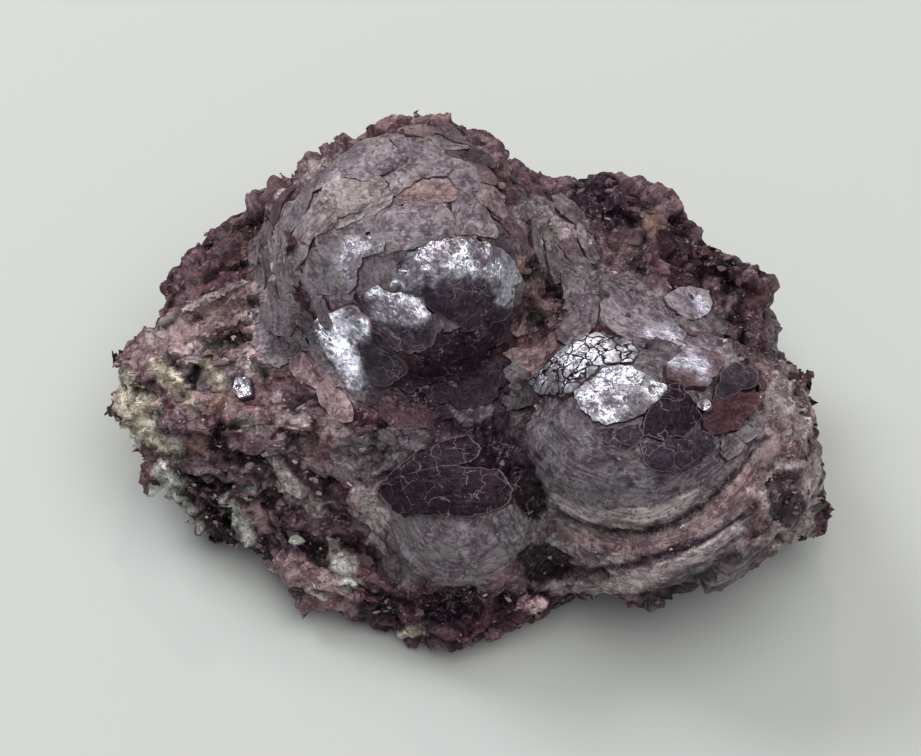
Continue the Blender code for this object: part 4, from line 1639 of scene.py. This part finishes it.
class MICA_OT_plates(bpy.types.Operator):
    """Lays the larger thin plates on the lump, where the photo shows them"""

    bl_idname = "mica.plates"
    bl_label = "Larger plates"

    def execute(self, context):
        sizes, colours = context.scene.mica_sizes, context.scene.mica_colours
        for group, plates in PLATE_GROUPS.items():
            meshes = [
                laid_plate(f"{group}_{name}", plate, GROUND[0], PHOTO_VIEW, sizes, colours)
                for name, plate in plates.items() if is_laid(group, plate)
            ]
            if meshes:
                add_piece(group, joined(group, meshes), mica_shader())
        return {"FINISHED"}


class MICA_OT_scales(bpy.types.Operator):
    """Covers the scaled balls with thin curved scales, all round the lump"""

    bl_idname = "mica.scales"
    bl_label = "Scales of the balls"

    def execute(self, context):
        sizes, colours = context.scene.mica_sizes, context.scene.mica_colours
        survey, ground = SURVEY[0], GROUND[0]
        rng = np.random.default_rng(11)
        ways = grain_directions(survey.points, ground.facing, survey.sure, survey.which)
        bare = ~under_plates(ground)
        for ball_index, ball in enumerate(BALLS):
            if not ball.scaled:
                continue
            allowed = (survey.which == ball_index) & (survey.sure > 0.35) & bare
            gap = sizes.scale_gap
            meshes = []
            for count, index in enumerate(spread_out(survey.points, allowed, gap, rng)):
                own = drawn_colours(survey.mix[index:index + 1], rng.random(1), colours)[0]
                main = survey.mix[index] @ palette(colours)
                share = SCALE_CONTRAST
                tint = (own * share + main * (1 - share)) * (1 + rng.uniform(-0.3, 0.3) * share * 2)
                outline = random_outline(gap / MM * rng.uniform(0.6, 0.95), rng, 1.5)
                plate = Plate("skin_" + ball.colour, outline, rng.uniform(-0.05, 0.08))
                view = view_at(ground, ways, index)
                name = f"scale_{count}"
                meshes.append(laid_plate(name, plate, ground, view, sizes, colours, tint, 4.0))
            if meshes:
                add_piece(f"scales_{ball_index + 1}", joined("scales", meshes), mica_shader())
        return {"FINISHED"}


class MICA_OT_books(bpy.types.Operator):
    """Strews broken books of plates over the rough parts"""

    bl_idname = "mica.books"
    bl_label = "Broken books"

    def execute(self, context):
        sizes, colours = context.scene.mica_sizes, context.scene.mica_colours
        survey = SURVEY[0]
        rng = np.random.default_rng(23)
        places = litter_places(BOOKS, survey, sizes.books, (1 - survey.sure) ** 2, rng)
        length = median_lengths(0.6, 0.42, sizes.books, (0.25, 1.4), rng)
        width = length * rng.uniform(0.35, 0.85, sizes.books)
        scales = np.stack((length, width, length * rng.uniform(0.22, 0.5, sizes.books)), 1) * MM
        add_litter("broken_books", BOOKS, survey, colours, places, scales, rng)
        return {"FINISHED"}


class MICA_OT_flakes(bpy.types.Operator):
    """Strews small loose flakes over the whole lump"""

    bl_idname = "mica.flakes"
    bl_label = "Loose flakes"

    def execute(self, context):
        sizes, colours = context.scene.mica_sizes, context.scene.mica_colours
        survey = SURVEY[0]
        rng = np.random.default_rng(37)
        places = litter_places(FLAKES, survey, sizes.flakes, 1 - 0.97 * survey.sure, rng)
        length = median_lengths(0.26, 0.40, sizes.flakes, (0.12, 0.8), rng)
        width = length * rng.uniform(0.4, 0.9, sizes.flakes)
        scales = np.stack((length, width, length * 0.4), 1) * MM
        add_litter("loose_flakes", FLAKES, survey, colours, places, scales, rng)
        return {"FINISHED"}


class MICA_OT_stage(bpy.types.Operator):
    """Makes the floor, the camera and the lights"""

    bl_idname = "mica.stage"
    bl_label = "Floor, camera and lights"

    def execute(self, context):
        scene = context.scene
        sizes, colours = scene.mica_sizes, scene.mica_colours
        bm = bmesh.new()
        bmesh.ops.create_grid(bm, x_segments=1, y_segments=1, size=3.0)
        mesh = bpy.data.meshes.new("floor")
        bm.to_mesh(mesh)
        bm.free()
        floor = bpy.data.objects.new("floor", mesh)
        scene.collection.objects.link(floor)
        mesh.materials.append(floor_material(colours.floor))
        camera = bpy.data.cameras.new("camera")
        camera.sensor_width = SENSOR_WIDTH
        camera.lens = SENSOR_WIDTH * CAMERA_DISTANCE / MM / (PHOTO_WIDTH / PIXELS_PER_MM)
        camera.clip_start = 0.01
        eye = bpy.data.objects.new("camera", camera)
        scene.collection.objects.link(eye)
        eye.location = PHOTO_VIEW.eye()
        eye.rotation_euler = (-PHOTO_VIEW.towards).to_track_quat("-Z", "Y").to_euler()
        scene.camera = eye
        self.add_light(scene, "window", (-0.52, 0.49, 0.71), 0.8, 0.36, sizes.key_power, (0.95, 0.98, 1.0))
        self.add_light(scene, "ceiling", (0.15, -0.1, 1.0), 1.2, 1.3, sizes.ceiling_power, (1.0, 1.0, 0.98))
        self.add_light(scene, "lamp", (-0.05, 0.65, 0.76), 0.70, 0.05, sizes.warm_power, (1.0, 0.74, 0.42))
        world = bpy.data.worlds.new("room")
        world.use_nodes = True
        scene.world = world
        background = world.node_tree.nodes["Background"]
        background.inputs["Color"].default_value = (0.93, 0.97, 1.0, 1.0)
        background.inputs["Strength"].default_value = sizes.sky
        scene.view_settings.view_transform = "Standard"
        return {"FINISHED"}

    @staticmethod
    def add_light(scene, name, direction, distance, size, power, colour):
        light = bpy.data.lights.new(name, "AREA")
        light.shape = "DISK"
        light.size = size
        light.energy = power
        light.color = colour
        lamp = bpy.data.objects.new(name, light)
        scene.collection.objects.link(lamp)
        way = Vector(direction).normalized()
        lamp.location = CAMERA_AIM + way * distance
        lamp.rotation_euler = (-way).to_track_quat("-Z", "Y").to_euler()


class MICA_PT_panel(bpy.types.Panel):
    """The sidebar panel with the lump's sizes, colours and operators"""

    bl_idname = "MICA_PT_panel"
    bl_label = "Ball mica"
    bl_space_type = "VIEW_3D"
    bl_region_type = "UI"
    bl_category = "Mica"

    def draw(self, context):
        layout = self.layout
        for group in (context.scene.mica_sizes, context.scene.mica_colours):
            for name in group.__annotations__:
                layout.prop(group, name)
        for operator in OPERATORS:
            layout.operator(operator.bl_idname)


OPERATORS = (
    MICA_OT_skin, MICA_OT_plates, MICA_OT_scales, MICA_OT_books, MICA_OT_flakes, MICA_OT_stage,
)
CLASSES = (MicaColours, MicaSizes, *OPERATORS, MICA_PT_panel)


def register():
    for cls in CLASSES:
        bpy.utils.register_class(cls)
    bpy.types.Scene.mica_colours = PointerProperty(type=MicaColours)
    bpy.types.Scene.mica_sizes = PointerProperty(type=MicaSizes)


def unregister():
    del bpy.types.Scene.mica_sizes
    del bpy.types.Scene.mica_colours
    for cls in reversed(CLASSES):
        bpy.utils.unregister_class(cls)


def main():
    register()
    bpy.ops.mica.skin()
    bpy.ops.mica.plates()
    bpy.ops.mica.scales()
    bpy.ops.mica.books()
    bpy.ops.mica.flakes()
    bpy.ops.mica.stage()
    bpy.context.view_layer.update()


if __name__ == "__main__":
    main()
